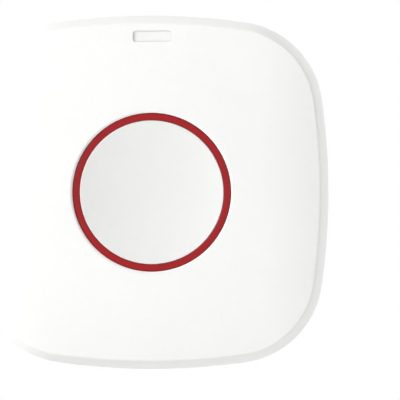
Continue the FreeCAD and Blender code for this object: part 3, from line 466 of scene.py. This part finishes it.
metals = {
    "spring_steel": {
        "colour": (0.56, 0.55, 0.53), "tint": (0.42, 0.40, 0.37),
        "roughness": 0.26, "depth": 0.5e-6, "stretch": (5000, 400, 5000),
    },
    "contact_metal": {
        "colour": (0.74, 0.71, 0.64), "tint": (0.62, 0.57, 0.48),
        "roughness": 0.28, "depth": 0.8e-6, "stretch": (6000, 6000, 260),
    },
    "screw_steel": {
        "colour": (0.60, 0.60, 0.60), "tint": (0.50, 0.50, 0.48),
        "roughness": 0.30, "depth": 0.5e-6, "stretch": (5000, 500, 5000),
    },
    "cell_steel": {
        "colour": (0.66, 0.66, 0.65), "tint": (0.58, 0.57, 0.55),
        "roughness": 0.27, "depth": 0.7e-6, "stretch": (260, 6000, 6000),
    },
    "shield_metal": {
        "colour": (0.70, 0.70, 0.69), "tint": (0.62, 0.62, 0.58),
        "roughness": 0.33, "depth": 0.8e-6, "stretch": (6000, 6000, 260),
    },
    "antenna_wire": {
        "colour": (0.72, 0.70, 0.66), "tint": (0.60, 0.56, 0.50),
        "roughness": 0.30, "depth": 0.6e-6, "stretch": (6000, 6000, 300),
    },
    "crystal_metal": {
        "colour": (0.70, 0.69, 0.66), "tint": (0.60, 0.58, 0.54),
        "roughness": 0.30, "depth": 0.6e-6, "stretch": (260, 6000, 6000),
    },
}

metalSurface = {
    "drift": 0.8,
    "driftScale": 260.0,
    "lineTone": 0.25,
    "lineRoughness": 0.07,
    "edgeWidth": 0.00012,
    "edgeScale": 2500.0,
    "edgeShare": 0.6,
    "edgeBrighter": 1.2,
    "polishDrift": 0.2,
    "polishScale": 900.0,
}


def makeMetal(name, values):
    finish, tree, shader = startFinish(name)
    tint = solid(values["tint"])
    drift = {"Colour": solid(values["colour"]), "Tint": tint, "Amount": metalSurface["drift"]}
    colour = useGroup(tree, driftGroup, {**drift, "Scale": metalSurface["driftScale"]})["Colour"]
    brush = useGroup(tree, brushGroup, {"Stretch": values["stretch"], "Depth": values["depth"]})
    colour = blend(tree, calc(tree, "MULTIPLY", brush["Lines"], metalSurface["lineTone"]), colour, tint)
    # painted edge highlight together with rubbed wear: a brighter metal colour along the edges of the mask
    edge = {"Width": metalSurface["edgeWidth"], "Patch Scale": metalSurface["edgeScale"]}
    rubbedAndHighlit = calc(tree, "MULTIPLY", useGroup(tree, edgeRubAndHighlightGroup, edge)["Mask"], metalSurface["edgeShare"])
    bright = solid([min(1.0, part * metalSurface["edgeBrighter"]) for part in values["colour"]])
    feed(tree, shader["Base Color"], blend(tree, rubbedAndHighlit, colour, bright))
    polish = {"Roughness": values["roughness"], "Amount": metalSurface["polishDrift"]}
    polish = useGroup(tree, polishGroup, {**polish, "Scale": metalSurface["polishScale"]})["Roughness"]
    worn = calc(tree, "MULTIPLY_ADD", brush["Lines"], metalSurface["lineRoughness"], polish)
    feed(tree, shader["Roughness"], worn)
    feed(tree, shader["Normal"], brush["Normal"])
    shader["Metallic"].default_value = 1.0
    return finish


# boards; pitch is the number of tracks to a metre

boards = {
    "board_green": {
        "mask": (0.010, 0.105, 0.042), "track": (0.018, 0.19, 0.075), "bare": (0.70, 0.52, 0.26),
        "pitch": 1100.0, "roughness": 0.34, "coat": 0.35,
    },
    "module_board": {
        "mask": (0.010, 0.035, 0.095), "track": (0.018, 0.065, 0.16), "bare": (0.70, 0.52, 0.26),
        "pitch": 1700.0, "roughness": 0.34, "coat": 0.35,
    },
}

boardPattern = {
    "zoneScale": 130.0,  # of the zones whose tracks run the same way
    "level": 0.5,  # share of the zones with level tracks, the others have upright ones
    "empty": 0.5,  # share of the zones without tracks
    "trackRamp": (0.17, 0.22),
    "holeScale": 420.0,
    "holeRamp": (0.12, 0.15),
    "tint": 0.7,
    "drift": 0.3,
    "polishDrift": 0.1,
    "relief": 0.00003,
}


def makeBoardFinish(name, values):
    # copper tracks show as lighter, slightly raised lines under the solder mask, between plated holes
    finish, tree, shader = startFinish(name)
    place = objectPlace(tree)
    spot = step(tree, "ShaderNodeSeparateXYZ", {"Vector": place}).outputs
    cells = {"Vector": place, "Scale": boardPattern["zoneScale"]}
    zones = step(tree, "ShaderNodeTexVoronoi", cells).outputs["Color"]
    zone = step(tree, "ShaderNodeSeparateXYZ", {"Vector": zones}).outputs
    upright = calc(tree, "GREATER_THAN", zone["X"], boardPattern["level"])
    level = calc(tree, "MULTIPLY", spot["Z"], values["pitch"])
    turn = calc(tree, "SUBTRACT", calc(tree, "MULTIPLY", spot["X"], values["pitch"]), level)
    lane = calc(tree, "FRACT", calc(tree, "MULTIPLY_ADD", turn, upright, level))
    lane = calc(tree, "ABSOLUTE", calc(tree, "SUBTRACT", lane, 0.5))
    track = rampBetween(tree, lane, *boardPattern["trackRamp"], 1.0, 0.0)
    track = calc(tree, "MULTIPLY", track, calc(tree, "GREATER_THAN", zone["Y"], boardPattern["empty"]))
    cells = {"Vector": place, "Scale": boardPattern["holeScale"]}
    holes = step(tree, "ShaderNodeTexVoronoi", cells).outputs["Distance"]
    plated = rampBetween(tree, holes, *boardPattern["holeRamp"], 1.0, 0.0)
    colour = blend(tree, track, solid(values["mask"]), solid(values["track"]))
    colour = blend(tree, plated, colour, solid(values["bare"]))
    tint = solid([part * boardPattern["tint"] for part in values["mask"]])
    drift = {"Colour": colour, "Tint": tint, "Amount": boardPattern["drift"]}
    feed(tree, shader["Base Color"], useGroup(tree, driftGroup, drift)["Colour"])
    feed(tree, shader["Metallic"], plated)
    polish = {"Roughness": values["roughness"], "Amount": boardPattern["polishDrift"]}
    feed(tree, shader["Roughness"], useGroup(tree, polishGroup, polish)["Roughness"])
    feed(tree, shader["Normal"], raised(tree, calc(tree, "SUBTRACT", track, plated), boardPattern["relief"]))
    shader["Coat Weight"].default_value = values["coat"]
    return finish


finishOf = {name: makePlastic(name, values) for name, values in plastics.items()}
finishOf |= {name: makeMetal(name, values) for name, values in metals.items()}
finishOf |= {name: makeBoardFinish(name, values) for name, values in boards.items()}
print("finishes ready:", len(finishOf))

nodeFinish = {
    "front_cover": "housing_white",
    "rear_cover": "housing_white",
    "housing_gasket": "gasket_rubber",
    "alarm_ring": "ring_red",
    "button_cap": "cap_white",
    "button_guide": "guide_plastic",
    "return_spring": "spring_steel",
    "indicator_window": "light_pipe",
    "circuit_board": "board_green",
    "board_screws": "screw_steel",
    "battery_holder": "holder_plastic",
    "battery_clip": "contact_metal",
    "battery_contact": "contact_metal",
    "coin_cell": "cell_steel",
    "switch_base": "switch_plastic",
    "switch_plate": "shield_metal",
    "switch_stem": "stem_plastic",
    "radio_module": "module_board",
    "shield_can": "shield_metal",
    "antenna": "antenna_wire",
    "microcontroller": "package_black",
    "crystal": "crystal_metal",
    "bulk_capacitor": "capacitor_yellow",
    "indicator_diode": "diode_white",
    "chip_parts": "part_ceramic",
}

grownNodes = {"alarm_ring", "coin_cell", "return_spring", "board_screws", "chip_parts"}
flatFaced = {
    "indicator_window", "button_guide", "shield_can", "switch_base", "switch_plate", "battery_clip",
    "battery_contact", "bulk_capacitor", "crystal", "microcontroller", "battery_holder", "circuit_board",
}


def standFor(piece, node, replace=True):
    # lets a grown piece stand for a CAD node
    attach(piece, bodyOf[node])
    if replace:
        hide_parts(node)


# shapes that repeat, turn or follow a path are grown by geometry nodes

meshDetail = {
    "weld": 1e-7,  # points closer than this become one
    "cleanWeld": 2e-7,  # the same, in a grown mesh when it is done
    "smoothAngle": 28.0,  # in degrees; an edge that is sharper shows as an edge
    "roundSteps": 6,
    "bevelSteps": 2,
    "threadSteps": 20,
    "threadSides": 4,
}


def newShapeTree(name, sizes):
    tree = bpy.data.node_groups.new(name, "GeometryNodeTree")
    tree.interface.new_socket("Geometry", in_out="INPUT", socket_type="NodeSocketGeometry")
    for label, kind in sizes + [("Finish", "NodeSocketMaterial")]:
        tree.interface.new_socket(label, in_out="INPUT", socket_type=kind)
    tree.interface.new_socket("Geometry", in_out="OUTPUT", socket_type="NodeSocketGeometry")
    return tree, tree.nodes.new("NodeGroupInput").outputs, tree.nodes.new("NodeGroupOutput").inputs


def closeTree(tree, entry, leave, shape):
    whole = step(tree, "GeometryNodeRealizeInstances", {"Geometry": shape}).outputs["Geometry"]
    painted = step(tree, "GeometryNodeSetMaterial", {"Geometry": whole, "Material": entry["Finish"]})
    feed(tree, leave["Geometry"], painted.outputs["Geometry"])
    return tree


def circleLine(tree, sides, radius):
    values = {"Resolution": sides, "Radius": radius}
    return step(tree, "GeometryNodeCurvePrimitiveCircle", values).outputs["Curve"]


def vectorOf(tree, **parts):
    return step(tree, "ShaderNodeCombineXYZ", parts).outputs[0]


def turnRound(tree, angle):
    # a turn round the front-to-back axis
    return step(tree, "FunctionNodeEulerToRotation", {"Euler": vectorOf(tree, Y=angle)}).outputs["Rotation"]


def roundTheAxis(tree, radius, depth, angle):
    # a place on a circle round the front-to-back axis
    across = calc(tree, "MULTIPLY", radius, calc(tree, "COSINE", angle))
    up = calc(tree, "MULTIPLY", radius, calc(tree, "SINE", angle))
    return vectorOf(tree, X=across, Y=calc(tree, "MULTIPLY", depth, -1.0), Z=up)


def setOnPoints(tree, points, piece, turn):
    values = {"Points": points, "Instance": piece, "Rotation": turn}
    return step(tree, "GeometryNodeInstanceOnPoints", values).outputs["Instances"]


def makeTurnedTree():
    # a section, drawn as a line of points (radius, depth), turned like a part on a lathe
    sizes = [("Sides", "NodeSocketInt"), ("Weld", "NodeSocketFloat")]
    tree, entry, leave = newShapeTree("turnedShape", sizes)
    drawn = step(tree, "GeometryNodeAttributeDomainSize", {"Geometry": entry["Geometry"]})
    count = drawn.outputs["Point Count"]
    rows = calc(tree, "ADD", entry["Sides"], 1.0)
    skin = step(tree, "GeometryNodeMeshGrid", {"Vertices X": rows, "Vertices Y": count}).outputs["Mesh"]
    index = step(tree, "GeometryNodeInputIndex", {}).outputs["Index"]
    # the quarter keeps the whole number clear of rounding
    row = calc(tree, "FLOOR", calc(tree, "DIVIDE", calc(tree, "ADD", index, 0.25), count))
    column = calc(tree, "SUBTRACT", index, calc(tree, "MULTIPLY", row, count))
    here = step(tree, "GeometryNodeInputPosition", {}).outputs["Position"]
    values = {"Geometry": entry["Geometry"], "Value": here, "Index": column}
    point = step(tree, "GeometryNodeSampleIndex", values, data_type="FLOAT_VECTOR").outputs["Value"]
    split = step(tree, "ShaderNodeSeparateXYZ", {"Vector": point}).outputs
    angle = calc(tree, "DIVIDE", calc(tree, "MULTIPLY", row, 2 * math.pi), entry["Sides"])
    place = roundTheAxis(tree, split["X"], split["Y"], angle)
    turned = step(tree, "GeometryNodeSetPosition", {"Geometry": skin, "Position": place}).outputs["Geometry"]
    welded = step(tree, "GeometryNodeMergeByDistance", {"Geometry": turned, "Distance": entry["Weld"]})
    return closeTree(tree, entry, leave, welded.outputs["Geometry"])


def makeCoilTree():
    # a conical compression spring with flat end turns, swept along its wire
    sizes = [("Steps", "NodeSocketInt"), ("Wire Sides", "NodeSocketInt")]
    labels = ("Turns", "Flat Turns", "Floor", "Seat", "Wide Radius", "Narrow Radius", "Wire Radius")
    tree, entry, leave = newShapeTree("coilShape", sizes + [(label, "NodeSocketFloat") for label in labels])
    count = calc(tree, "ADD", entry["Steps"], 1.0)
    line = step(tree, "GeometryNodeMeshLine", {"Count": count}).outputs["Mesh"]
    index = step(tree, "GeometryNodeInputIndex", {}).outputs["Index"]
    share = calc(tree, "DIVIDE", index, entry["Steps"])
    turn = calc(tree, "MULTIPLY", share, entry["Turns"])
    rising = calc(tree, "MULTIPLY_ADD", entry["Flat Turns"], -2.0, entry["Turns"])
    climb = calc(tree, "DIVIDE", calc(tree, "SUBTRACT", turn, entry["Flat Turns"]), rising)
    climb = calc(tree, "MINIMUM", calc(tree, "MAXIMUM", climb, 0.0), 1.0)
    height = calc(tree, "SUBTRACT", entry["Seat"], entry["Floor"])
    height = calc(tree, "MULTIPLY_ADD", entry["Wire Radius"], -2.0, height)
    low = calc(tree, "ADD", entry["Floor"], entry["Wire Radius"])
    depth = calc(tree, "MULTIPLY_ADD", climb, height, low)
    taper = calc(tree, "SUBTRACT", entry["Narrow Radius"], entry["Wide Radius"])
    radius = calc(tree, "MULTIPLY_ADD", share, taper, entry["Wide Radius"])
    place = roundTheAxis(tree, radius, depth, calc(tree, "MULTIPLY", turn, 2 * math.pi))
    wound = step(tree, "GeometryNodeSetPosition", {"Geometry": line, "Position": place}).outputs["Geometry"]
    path = step(tree, "GeometryNodeMeshToCurve", {"Mesh": wound}).outputs["Curve"]
    wire = circleLine(tree, entry["Wire Sides"], entry["Wire Radius"])
    values = {"Curve": path, "Profile Curve": wire, "Fill Caps": True}
    return closeTree(tree, entry, leave, step(tree, "GeometryNodeCurveToMesh", values).outputs["Mesh"])


def makeScrewTree(turnedTree):
    # one screw, cut with a cross and threaded, set at the four corners and turned by chance
    sizes = [("Sides", "NodeSocketInt"), ("Seed", "NodeSocketInt")]
    labels = ("Weld", "Place", "Head Depth", "Recess Length", "Recess Width", "Recess Depth")
    labels += ("Thread Start", "Thread Length", "Thread Turns", "Thread Radius", "Ridge")
    tree, entry, leave = newShapeTree("screwShape", sizes + [(label, "NodeSocketFloat") for label in labels])
    blank = tree.nodes.new("GeometryNodeGroup")
    blank.node_tree = turnedTree
    for label in ("Geometry", "Sides", "Weld", "Finish"):
        feed(tree, blank.inputs[label], entry[label])
    depth = calc(tree, "MULTIPLY", entry["Recess Depth"], 2.0)
    front = vectorOf(tree, Y=calc(tree, "MULTIPLY", entry["Head Depth"], -1.0))
    cut = step(tree, "GeometryNodeMeshBoolean", {"Mesh 1": blank.outputs["Geometry"]}, solver="EXACT")
    for long, short in (("X", "Z"), ("Z", "X")):
        arm = {long: entry["Recess Length"], short: entry["Recess Width"], "Y": depth}
        block = step(tree, "GeometryNodeMeshCube", {"Size": vectorOf(tree, **arm)}).outputs["Mesh"]
        moved = step(tree, "GeometryNodeTransform", {"Geometry": block, "Translation": front})
        tree.links.new(moved.outputs["Geometry"], cut.inputs["Mesh 2"])
    values = {
        "Resolution": meshDetail["threadSteps"], "Rotations": entry["Thread Turns"],
        "Height": entry["Thread Length"], "Start Radius": entry["Thread Radius"],
        "End Radius": entry["Thread Radius"],
    }
    helix = step(tree, "GeometryNodeCurveSpiral", values).outputs["Curve"]
    profile = circleLine(tree, meshDetail["threadSides"], entry["Ridge"])
    ridge = {"Curve": helix, "Profile Curve": profile, "Fill Caps": True}
    thread = step(tree, "GeometryNodeCurveToMesh", ridge).outputs["Mesh"]
    start = vectorOf(tree, Y=calc(tree, "MULTIPLY", entry["Thread Start"], -1.0))
    values = {"Geometry": thread, "Translation": start, "Rotation": (math.pi / 2, 0, 0)}
    thread = step(tree, "GeometryNodeTransform", values).outputs["Geometry"]
    screw = tree.nodes.new("GeometryNodeJoinGeometry")
    tree.links.new(cut.outputs["Mesh"], screw.inputs["Geometry"])
    tree.links.new(thread, screw.inputs["Geometry"])
    reach = calc(tree, "MULTIPLY", entry["Place"], 2.0)
    values = {"Size X": reach, "Size Y": reach, "Vertices X": 2, "Vertices Y": 2}
    corners = step(tree, "GeometryNodeMeshGrid", values).outputs["Mesh"]
    values = {"Geometry": corners, "Rotation": (math.pi / 2, 0, 0)}
    corners = step(tree, "GeometryNodeTransform", values).outputs["Geometry"]
    chance = step(tree, "FunctionNodeRandomValue", {"Min": 0.0, "Max": math.pi / 2, "Seed": entry["Seed"]})
    turn = turnRound(tree, chance.outputs["Value"])
    screws = setOnPoints(tree, corners, screw.outputs["Geometry"], turn)
    return closeTree(tree, entry, leave, screws)


def makeChipTree():
    # one pattern set along a row and, turned by a quarter, down a column
    vectors = ("Row Start", "Row Step", "Column Start", "Column Step")
    sizes = [("Count", "NodeSocketInt")] + [(label, "NodeSocketVector") for label in vectors]
    tree, entry, leave = newShapeTree("chipRows", sizes)
    places = tree.nodes.new("GeometryNodeJoinGeometry")
    for line in ("Column", "Row"):
        values = {"Count": entry["Count"]}
        values |= {"Start Location": entry[f"{line} Start"], "Offset": entry[f"{line} Step"]}
        tree.links.new(step(tree, "GeometryNodeMeshLine", values).outputs["Mesh"], places.inputs["Geometry"])
    index = step(tree, "GeometryNodeInputIndex", {}).outputs["Index"]
    second = calc(tree, "GREATER_THAN", index, calc(tree, "SUBTRACT", entry["Count"], 0.5))
    turn = turnRound(tree, calc(tree, "MULTIPLY", second, math.pi / 2))
    chips = setOnPoints(tree, places.outputs["Geometry"], entry["Geometry"], turn)
    return closeTree(tree, entry, leave, chips)


def cleanMesh(mesh):
    # closed seams, faces outwards, smooth but for the real edges
    shape = bmesh.new()
    shape.from_mesh(mesh)
    bmesh.ops.remove_doubles(shape, verts=shape.verts, dist=meshDetail["cleanWeld"])
    bmesh.ops.recalc_face_normals(shape, faces=shape.faces)
    shape.to_mesh(mesh)
    shape.free()
    mesh.shade_smooth()
    mesh.set_sharp_from_angle(angle=math.radians(meshDetail["smoothAngle"]))


def growShape(name, tree, start, sizes):
    # runs a tree on a start mesh and keeps the plain mesh that it makes
    grower = link(bpy.data.objects.new(name, start))
    modifier = grower.modifiers.new(name, "NODES")
    modifier.node_group = tree
    sockets = {item.name: item.identifier for item in tree.interface.items_tree if item.in_out == "INPUT"}
    for label, value in sizes.items():
        modifier[sockets[label]] = tuple(map(float, value)) if isinstance(value, tuple) else value
    grown = grower.evaluated_get(bpy.context.evaluated_depsgraph_get())
    mesh = bpy.data.meshes.new_from_object(grown)
    grower.modifiers.remove(modifier)
    grower.data = mesh
    mesh.name = name
    cleanMesh(mesh)
    return grower


def roundedLine(corners, steps=meshDetail["roundSteps"]):
    # corners are (radius, depth) or (radius, depth, rounding); a rounding becomes a short arc
    line = []
    for number, corner in enumerate(corners):
        point = Vector(corner[:2])
        if len(corner) == 2:
            line.append(point)
            continue
        beside = [Vector(corners[(number + side) % len(corners)][:2]) for side in (-1, 1)]
        legs = [(other - point).normalized() for other in beside]
        half = legs[0].angle(legs[1]) / 2
        middle = point + (legs[0] + legs[1]).normalized() * (corner[2] / math.sin(half))
        spokes = [point + leg * (corner[2] / math.tan(half)) - middle for leg in legs]
        for share in range(steps + 1):
            spoke = spokes[0].to_3d().slerp(spokes[1].to_3d(), share / steps).to_2d()
            line.append(middle + spoke.normalized() * corner[2])
    return line


def sectionMesh(name, line):
    mesh = bpy.data.meshes.new(name)
    edges = [(number, number + 1) for number in range(len(line) - 1)]
    mesh.from_pydata([(point.x, point.y, 0) for point in line], edges, [])
    return mesh


turnedTree = makeTurnedTree()
print("turned shape ready")


# alarm ring: a collar that stands in the opening, with a flange that the shell holds down

alarmRing = {
    "bore": 0.01265,
    "radius": 0.01384,
    "flange": 0.01654,
    "rear": 0.0123,
    "land": 0.0133,
    "crest": 0.0158,
    "crestRound": 0.0003,
    "boreRound": 0.0001,
    "roundSteps": 8,
    "sides": 224,
}


def turnAlarmRing(ring):
    corners = [(ring["bore"], ring["rear"]), (ring["flange"], ring["rear"]), (ring["flange"], ring["land"])]
    corners += [(ring["radius"], ring["land"]), (ring["radius"], ring["crest"], ring["crestRound"])]
    corners += [(ring["bore"], ring["crest"], ring["boreRound"])]
    line = roundedLine(corners, ring["roundSteps"])
    section = sectionMesh("ringSection", line + line[:1])  # a closed line, because the ring is hollow
    sizes = {"Sides": ring["sides"], "Weld": meshDetail["weld"], "Finish": finishOf["ring_red"]}
    standFor(growShape("alarm_ring_turned", turnedTree, section, sizes), "alarm_ring")


turnAlarmRing(alarmRing)
print("alarm ring turned")


# coin cell: a can with a rolled edge, a seal groove and a raised lid

coinCell = {
    "radius": 0.01225,
    "rear": 0.00235,
    "shoulder": 0.00695,
    "front": 0.00735,
    "lid": 0.0106,
    "edgeRound": 0.00035,
    "sealWidth": 0.0002,
    "sealDepth": 0.00035,
    "sealRound": 0.0001,
    "lidRound": 0.00015,
    "sides": 160,
}


def turnCoinCell(cell):
    sealOuter, sealFloor = cell["lid"] + cell["sealWidth"], cell["shoulder"] - cell["sealDepth"]
    corners = [(0.0, cell["rear"]), (cell["radius"], cell["rear"], cell["edgeRound"])]
    corners += [(cell["radius"], cell["shoulder"], cell["edgeRound"])]
    corners += [(sealOuter, cell["shoulder"], cell["sealRound"]), (sealOuter, sealFloor)]
    corners += [(cell["lid"], sealFloor), (cell["lid"], cell["front"], cell["lidRound"])]
    corners += [(0.0, cell["front"])]
    section = sectionMesh("cellSection", roundedLine(corners))
    sizes = {"Sides": cell["sides"], "Weld": meshDetail["weld"], "Finish": finishOf["cell_steel"]}
    standFor(growShape("coin_cell_turned", turnedTree, section, sizes), "coin_cell")


turnCoinCell(coinCell)
print("coin cell turned")


# return spring: conical music wire, pressed shorter by the button's travel

returnSpring = {
    "Turns": 3.0,
    "Flat Turns": 0.5,
    "Floor": 0.0110,
    "Seat": 0.01355,
    "Wide Radius": 0.00625,
    "Narrow Radius": 0.0055,
    "Wire Radius": 0.000225,
    "Steps": 216,
    "Wire Sides": 14,
}

sizes = {**returnSpring, "Finish": finishOf["spring_steel"]}
spring = growShape("return_spring_wound", makeCoilTree(), bpy.data.meshes.new("springStart"), sizes)
standFor(spring, "return_spring")
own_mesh(spring)
print("return spring wound")


# board screws: four thread-forming screws, their heads towards the wall

boardScrew = {
    "head": 0.0019,
    "dome": 0.0007,
    "board": 0.0079,
    "neck": 0.00095,
    "neckLength": 0.0002,
    "taper": 0.0002,
    "shank": 0.00078,
    "tip": 0.0121,
    "tipRound": 0.0003,
    "cut": {
        "Place": 0.0193,
        "Head Depth": 0.0066,
        "Recess Length": 0.0020,
        "Recess Width": 0.0005,
        "Recess Depth": 0.0007,
        "Thread Start": 0.0082,
        "Thread Length": 0.0035,
        "Thread Turns": 5.5,
        "Thread Radius": 0.00080,
        "Ridge": 0.00014,
        "Sides": 48,
        "Seed": 7,
    },
}


def cutBoardScrews(screw):
    headDepth, neckEnd = screw["cut"]["Head Depth"], screw["board"] + screw["neckLength"]
    corners = [(0.0, headDepth), (screw["head"], headDepth, screw["dome"]), (screw["head"], screw["board"])]
    corners += [(screw["neck"], screw["board"]), (screw["neck"], neckEnd)]
    corners += [(screw["shank"], neckEnd + screw["taper"]), (screw["shank"], screw["tip"], screw["tipRound"])]
    corners += [(0.0, screw["tip"])]
    section = sectionMesh("screwSection", roundedLine(corners))
    sizes = {**screw["cut"], "Weld": meshDetail["weld"], "Finish": finishOf["screw_steel"]}
    standFor(growShape("board_screws_cut", makeScrewTree(turnedTree), section, sizes), "board_screws")


cutBoardScrews(boardScrew)
print("board screws cut")


# chip parts: ceramic bodies between plated ends, in a row and a column

chipPart = {
    "width": 0.0008,
    "length": 0.0016,
    "height": 0.00055,
    "board": 0.0091,
    "end": 0.0003,
    "bodyShare": 0.94,
    "soft": 0.00005,
    "count": 6,
    "pitch": 0.0016,
    "rowMiddle": (0.0090, 0.0210),
    "columnMiddle": (0.0049, -0.0180),
}


def softBlocks(name, boxes, soft):
    # blocks with broken edges; a box is its middle and its size
    mesh, shape = bpy.data.meshes.new(name), bmesh.new()
    for middle, size in boxes:
        made = bmesh.ops.create_cube(shape, size=1.0)["verts"]
        bmesh.ops.scale(shape, vec=size, verts=made)
        bmesh.ops.translate(shape, vec=middle, verts=made)
        edges = {edge for vertex in made for edge in vertex.link_edges}
        steps = meshDetail["bevelSteps"]
        bmesh.ops.bevel(shape, geom=list(edges), offset=soft, segments=steps, affect="EDGES")
    shape.to_mesh(mesh)
    shape.free()
    return mesh


def placeChipParts(chip):
    tree = makeChipTree()
    half, pitch = (chip["count"] - 1) / 2, chip["pitch"]
    (rowX, rowZ), (columnX, columnZ) = chip["rowMiddle"], chip["columnMiddle"]
    places = {
        "Count": chip["count"],
        "Row Start": (rowX - half * pitch, 0, rowZ),
        "Row Step": (pitch, 0, 0),
        "Column Start": (columnX, 0, columnZ + half * pitch),
        "Column Step": (0, 0, -pitch),
    }
    middle, slim = -chip["board"] - chip["height"] / 2, chip["bodyShare"]
    bodySize = (chip["width"] * slim, chip["height"] * slim, chip["length"] - 2 * chip["end"])
    body = softBlocks("chipBody", [((0, middle, 0), bodySize)], chip["soft"] / 2)
    endPlace = (chip["length"] - chip["end"]) / 2
    endSize = (chip["width"], chip["height"], chip["end"])
    endBoxes = [((0, middle, side * endPlace), endSize) for side in (-1, 1)]
    plated = softBlocks("chipEnds", endBoxes, chip["soft"])
    bodies = growShape("chip_parts_bodies", tree, body, {**places, "Finish": finishOf["part_ceramic"]})
    standFor(bodies, "chip_parts")
    ends = growShape("chip_parts_ends", tree, plated, {**places, "Finish": finishOf["contact_metal"]})
    standFor(ends, "chip_parts", replace=False)


placeChipParts(chipPart)
print("chip parts placed")


# the other pieces take their form from the CAD solids; two of them get true curvature in their normals

forms = {
    "crownDepth": 0.0165,
    "crownRadius": 0.400,
    "crownFlatReach": 0.020,  # past this distance from the middle the crown bends faster
    "crownEdgeRadius": 0.060,
    "crownFacing": -0.25,  # a face of the crown looks further forward than this
    "crownSlack": 6e-6,  # how far a point of the crown may be off it
    "openingRadius": 0.01435,  # past the bevel of the opening
    "dishDepth": 0.01485,
    "dishRadius": 0.078,
    "dishReach": 0.01245,
    "dishFacing": -0.9,
    "dishSlack": 4e-6,
    "rimSlack": 1e-5,
}


def crownFall(distance):
    # how far the crown has fallen at a distance from the middle line, and how steeply
    distance = abs(distance)
    middle, edge, reach = forms["crownRadius"], forms["crownEdgeRadius"], forms["crownFlatReach"]
    if distance <= reach:
        level = math.sqrt(middle**2 - distance**2)
        return middle - level, distance / level
    sine = reach / middle
    cosine = math.sqrt(1 - sine**2)
    farSine = sine + (distance - reach) / edge
    farCosine = math.sqrt(1 - farSine**2)
    return middle * (1 - cosine) + edge * (cosine - farCosine), farSine / farCosine


def crownNormal(point, facing):
    # the crowned face outside the bevel of the opening
    fromMiddle = math.hypot(point.x, point.z)
    if facing.y > forms["crownFacing"] or fromMiddle < forms["openingRadius"] - forms["rimSlack"]:
        return None
    (fallX, steepX), (fallZ, steepZ) = crownFall(point.x), crownFall(point.z)
    if abs(forms["crownDepth"] - fallX - fallZ + point.y) > forms["crownSlack"]:
        return None
    return Vector((math.copysign(steepX, point.x), -1, math.copysign(steepZ, point.z))).normalized()


def dishNormal(point, facing):
    # the dished face of the button
    fromMiddle = math.hypot(point.x, point.z)
    if facing.y > forms["dishFacing"] or fromMiddle > forms["dishReach"] + forms["rimSlack"]:
        return None
    towards = Vector((0, -forms["dishDepth"] - forms["dishRadius"], 0)) - point
    if abs(towards.length - forms["dishRadius"]) > forms["dishSlack"]:
        return None
    return towards.normalized()


def setTrueNormals(mesh, rule):
    normals = [Vector(corner.vector) for corner in mesh.corner_normals]
    changed = 0
    for face in mesh.polygons:
        for corner in face.loop_indices:
            found = rule(mesh.vertices[mesh.loops[corner].vertex_index].co, face.normal)
            if found is not None:
                normals[corner] = found
                changed += 1
    mesh.normals_split_custom_set(normals)
    return changed


def weighFaces(skin):
    # flat faces beside rounded edges keep their straight normals
    modifier = skin.modifiers.new("faceWeight", "WEIGHTED_NORMAL")
    modifier.keep_sharp = True
    mesh = bpy.data.meshes.new_from_object(skin.evaluated_get(bpy.context.evaluated_depsgraph_get()))
    skin.modifiers.remove(modifier)
    mesh.name = skin.data.name
    skin.data = mesh


def smoothCopy(node, rule):
    # a welded copy of a CAD node that stands for it
    mesh = cadNodes[node].data.copy()
    mesh.name = f"{node}_skin"
    shape = bmesh.new()
    shape.from_mesh(mesh)
    bmesh.ops.remove_doubles(shape, verts=shape.verts, dist=meshDetail["weld"])
    shape.to_mesh(mesh)
    shape.free()
    # the stored normals belong to the mesh before the weld
    if "custom_normal" in mesh.attributes:
        mesh.attributes.remove(mesh.attributes["custom_normal"])
    mesh.shade_smooth()
    mesh.set_sharp_from_angle(angle=math.radians(meshDetail["smoothAngle"]))
    if rule:
        changed = setTrueNormals(mesh, rule)
        print("   true normals on", node, changed)
    mesh.materials.clear()
    mesh.materials.append(finishOf[nodeFinish[node]])
    skin = link(bpy.data.objects.new(f"{node}_skin", mesh))
    if node in flatFaced:
        weighFaces(skin)
    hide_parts(node)
    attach(skin, bodyOf[node])


trueNormals = {"front_cover": crownNormal, "button_cap": dishNormal}
for node in cadNodes:
    if node not in grownNodes:
        smoothCopy(node, trueNormals.get(node))
print("smooth copies ready")
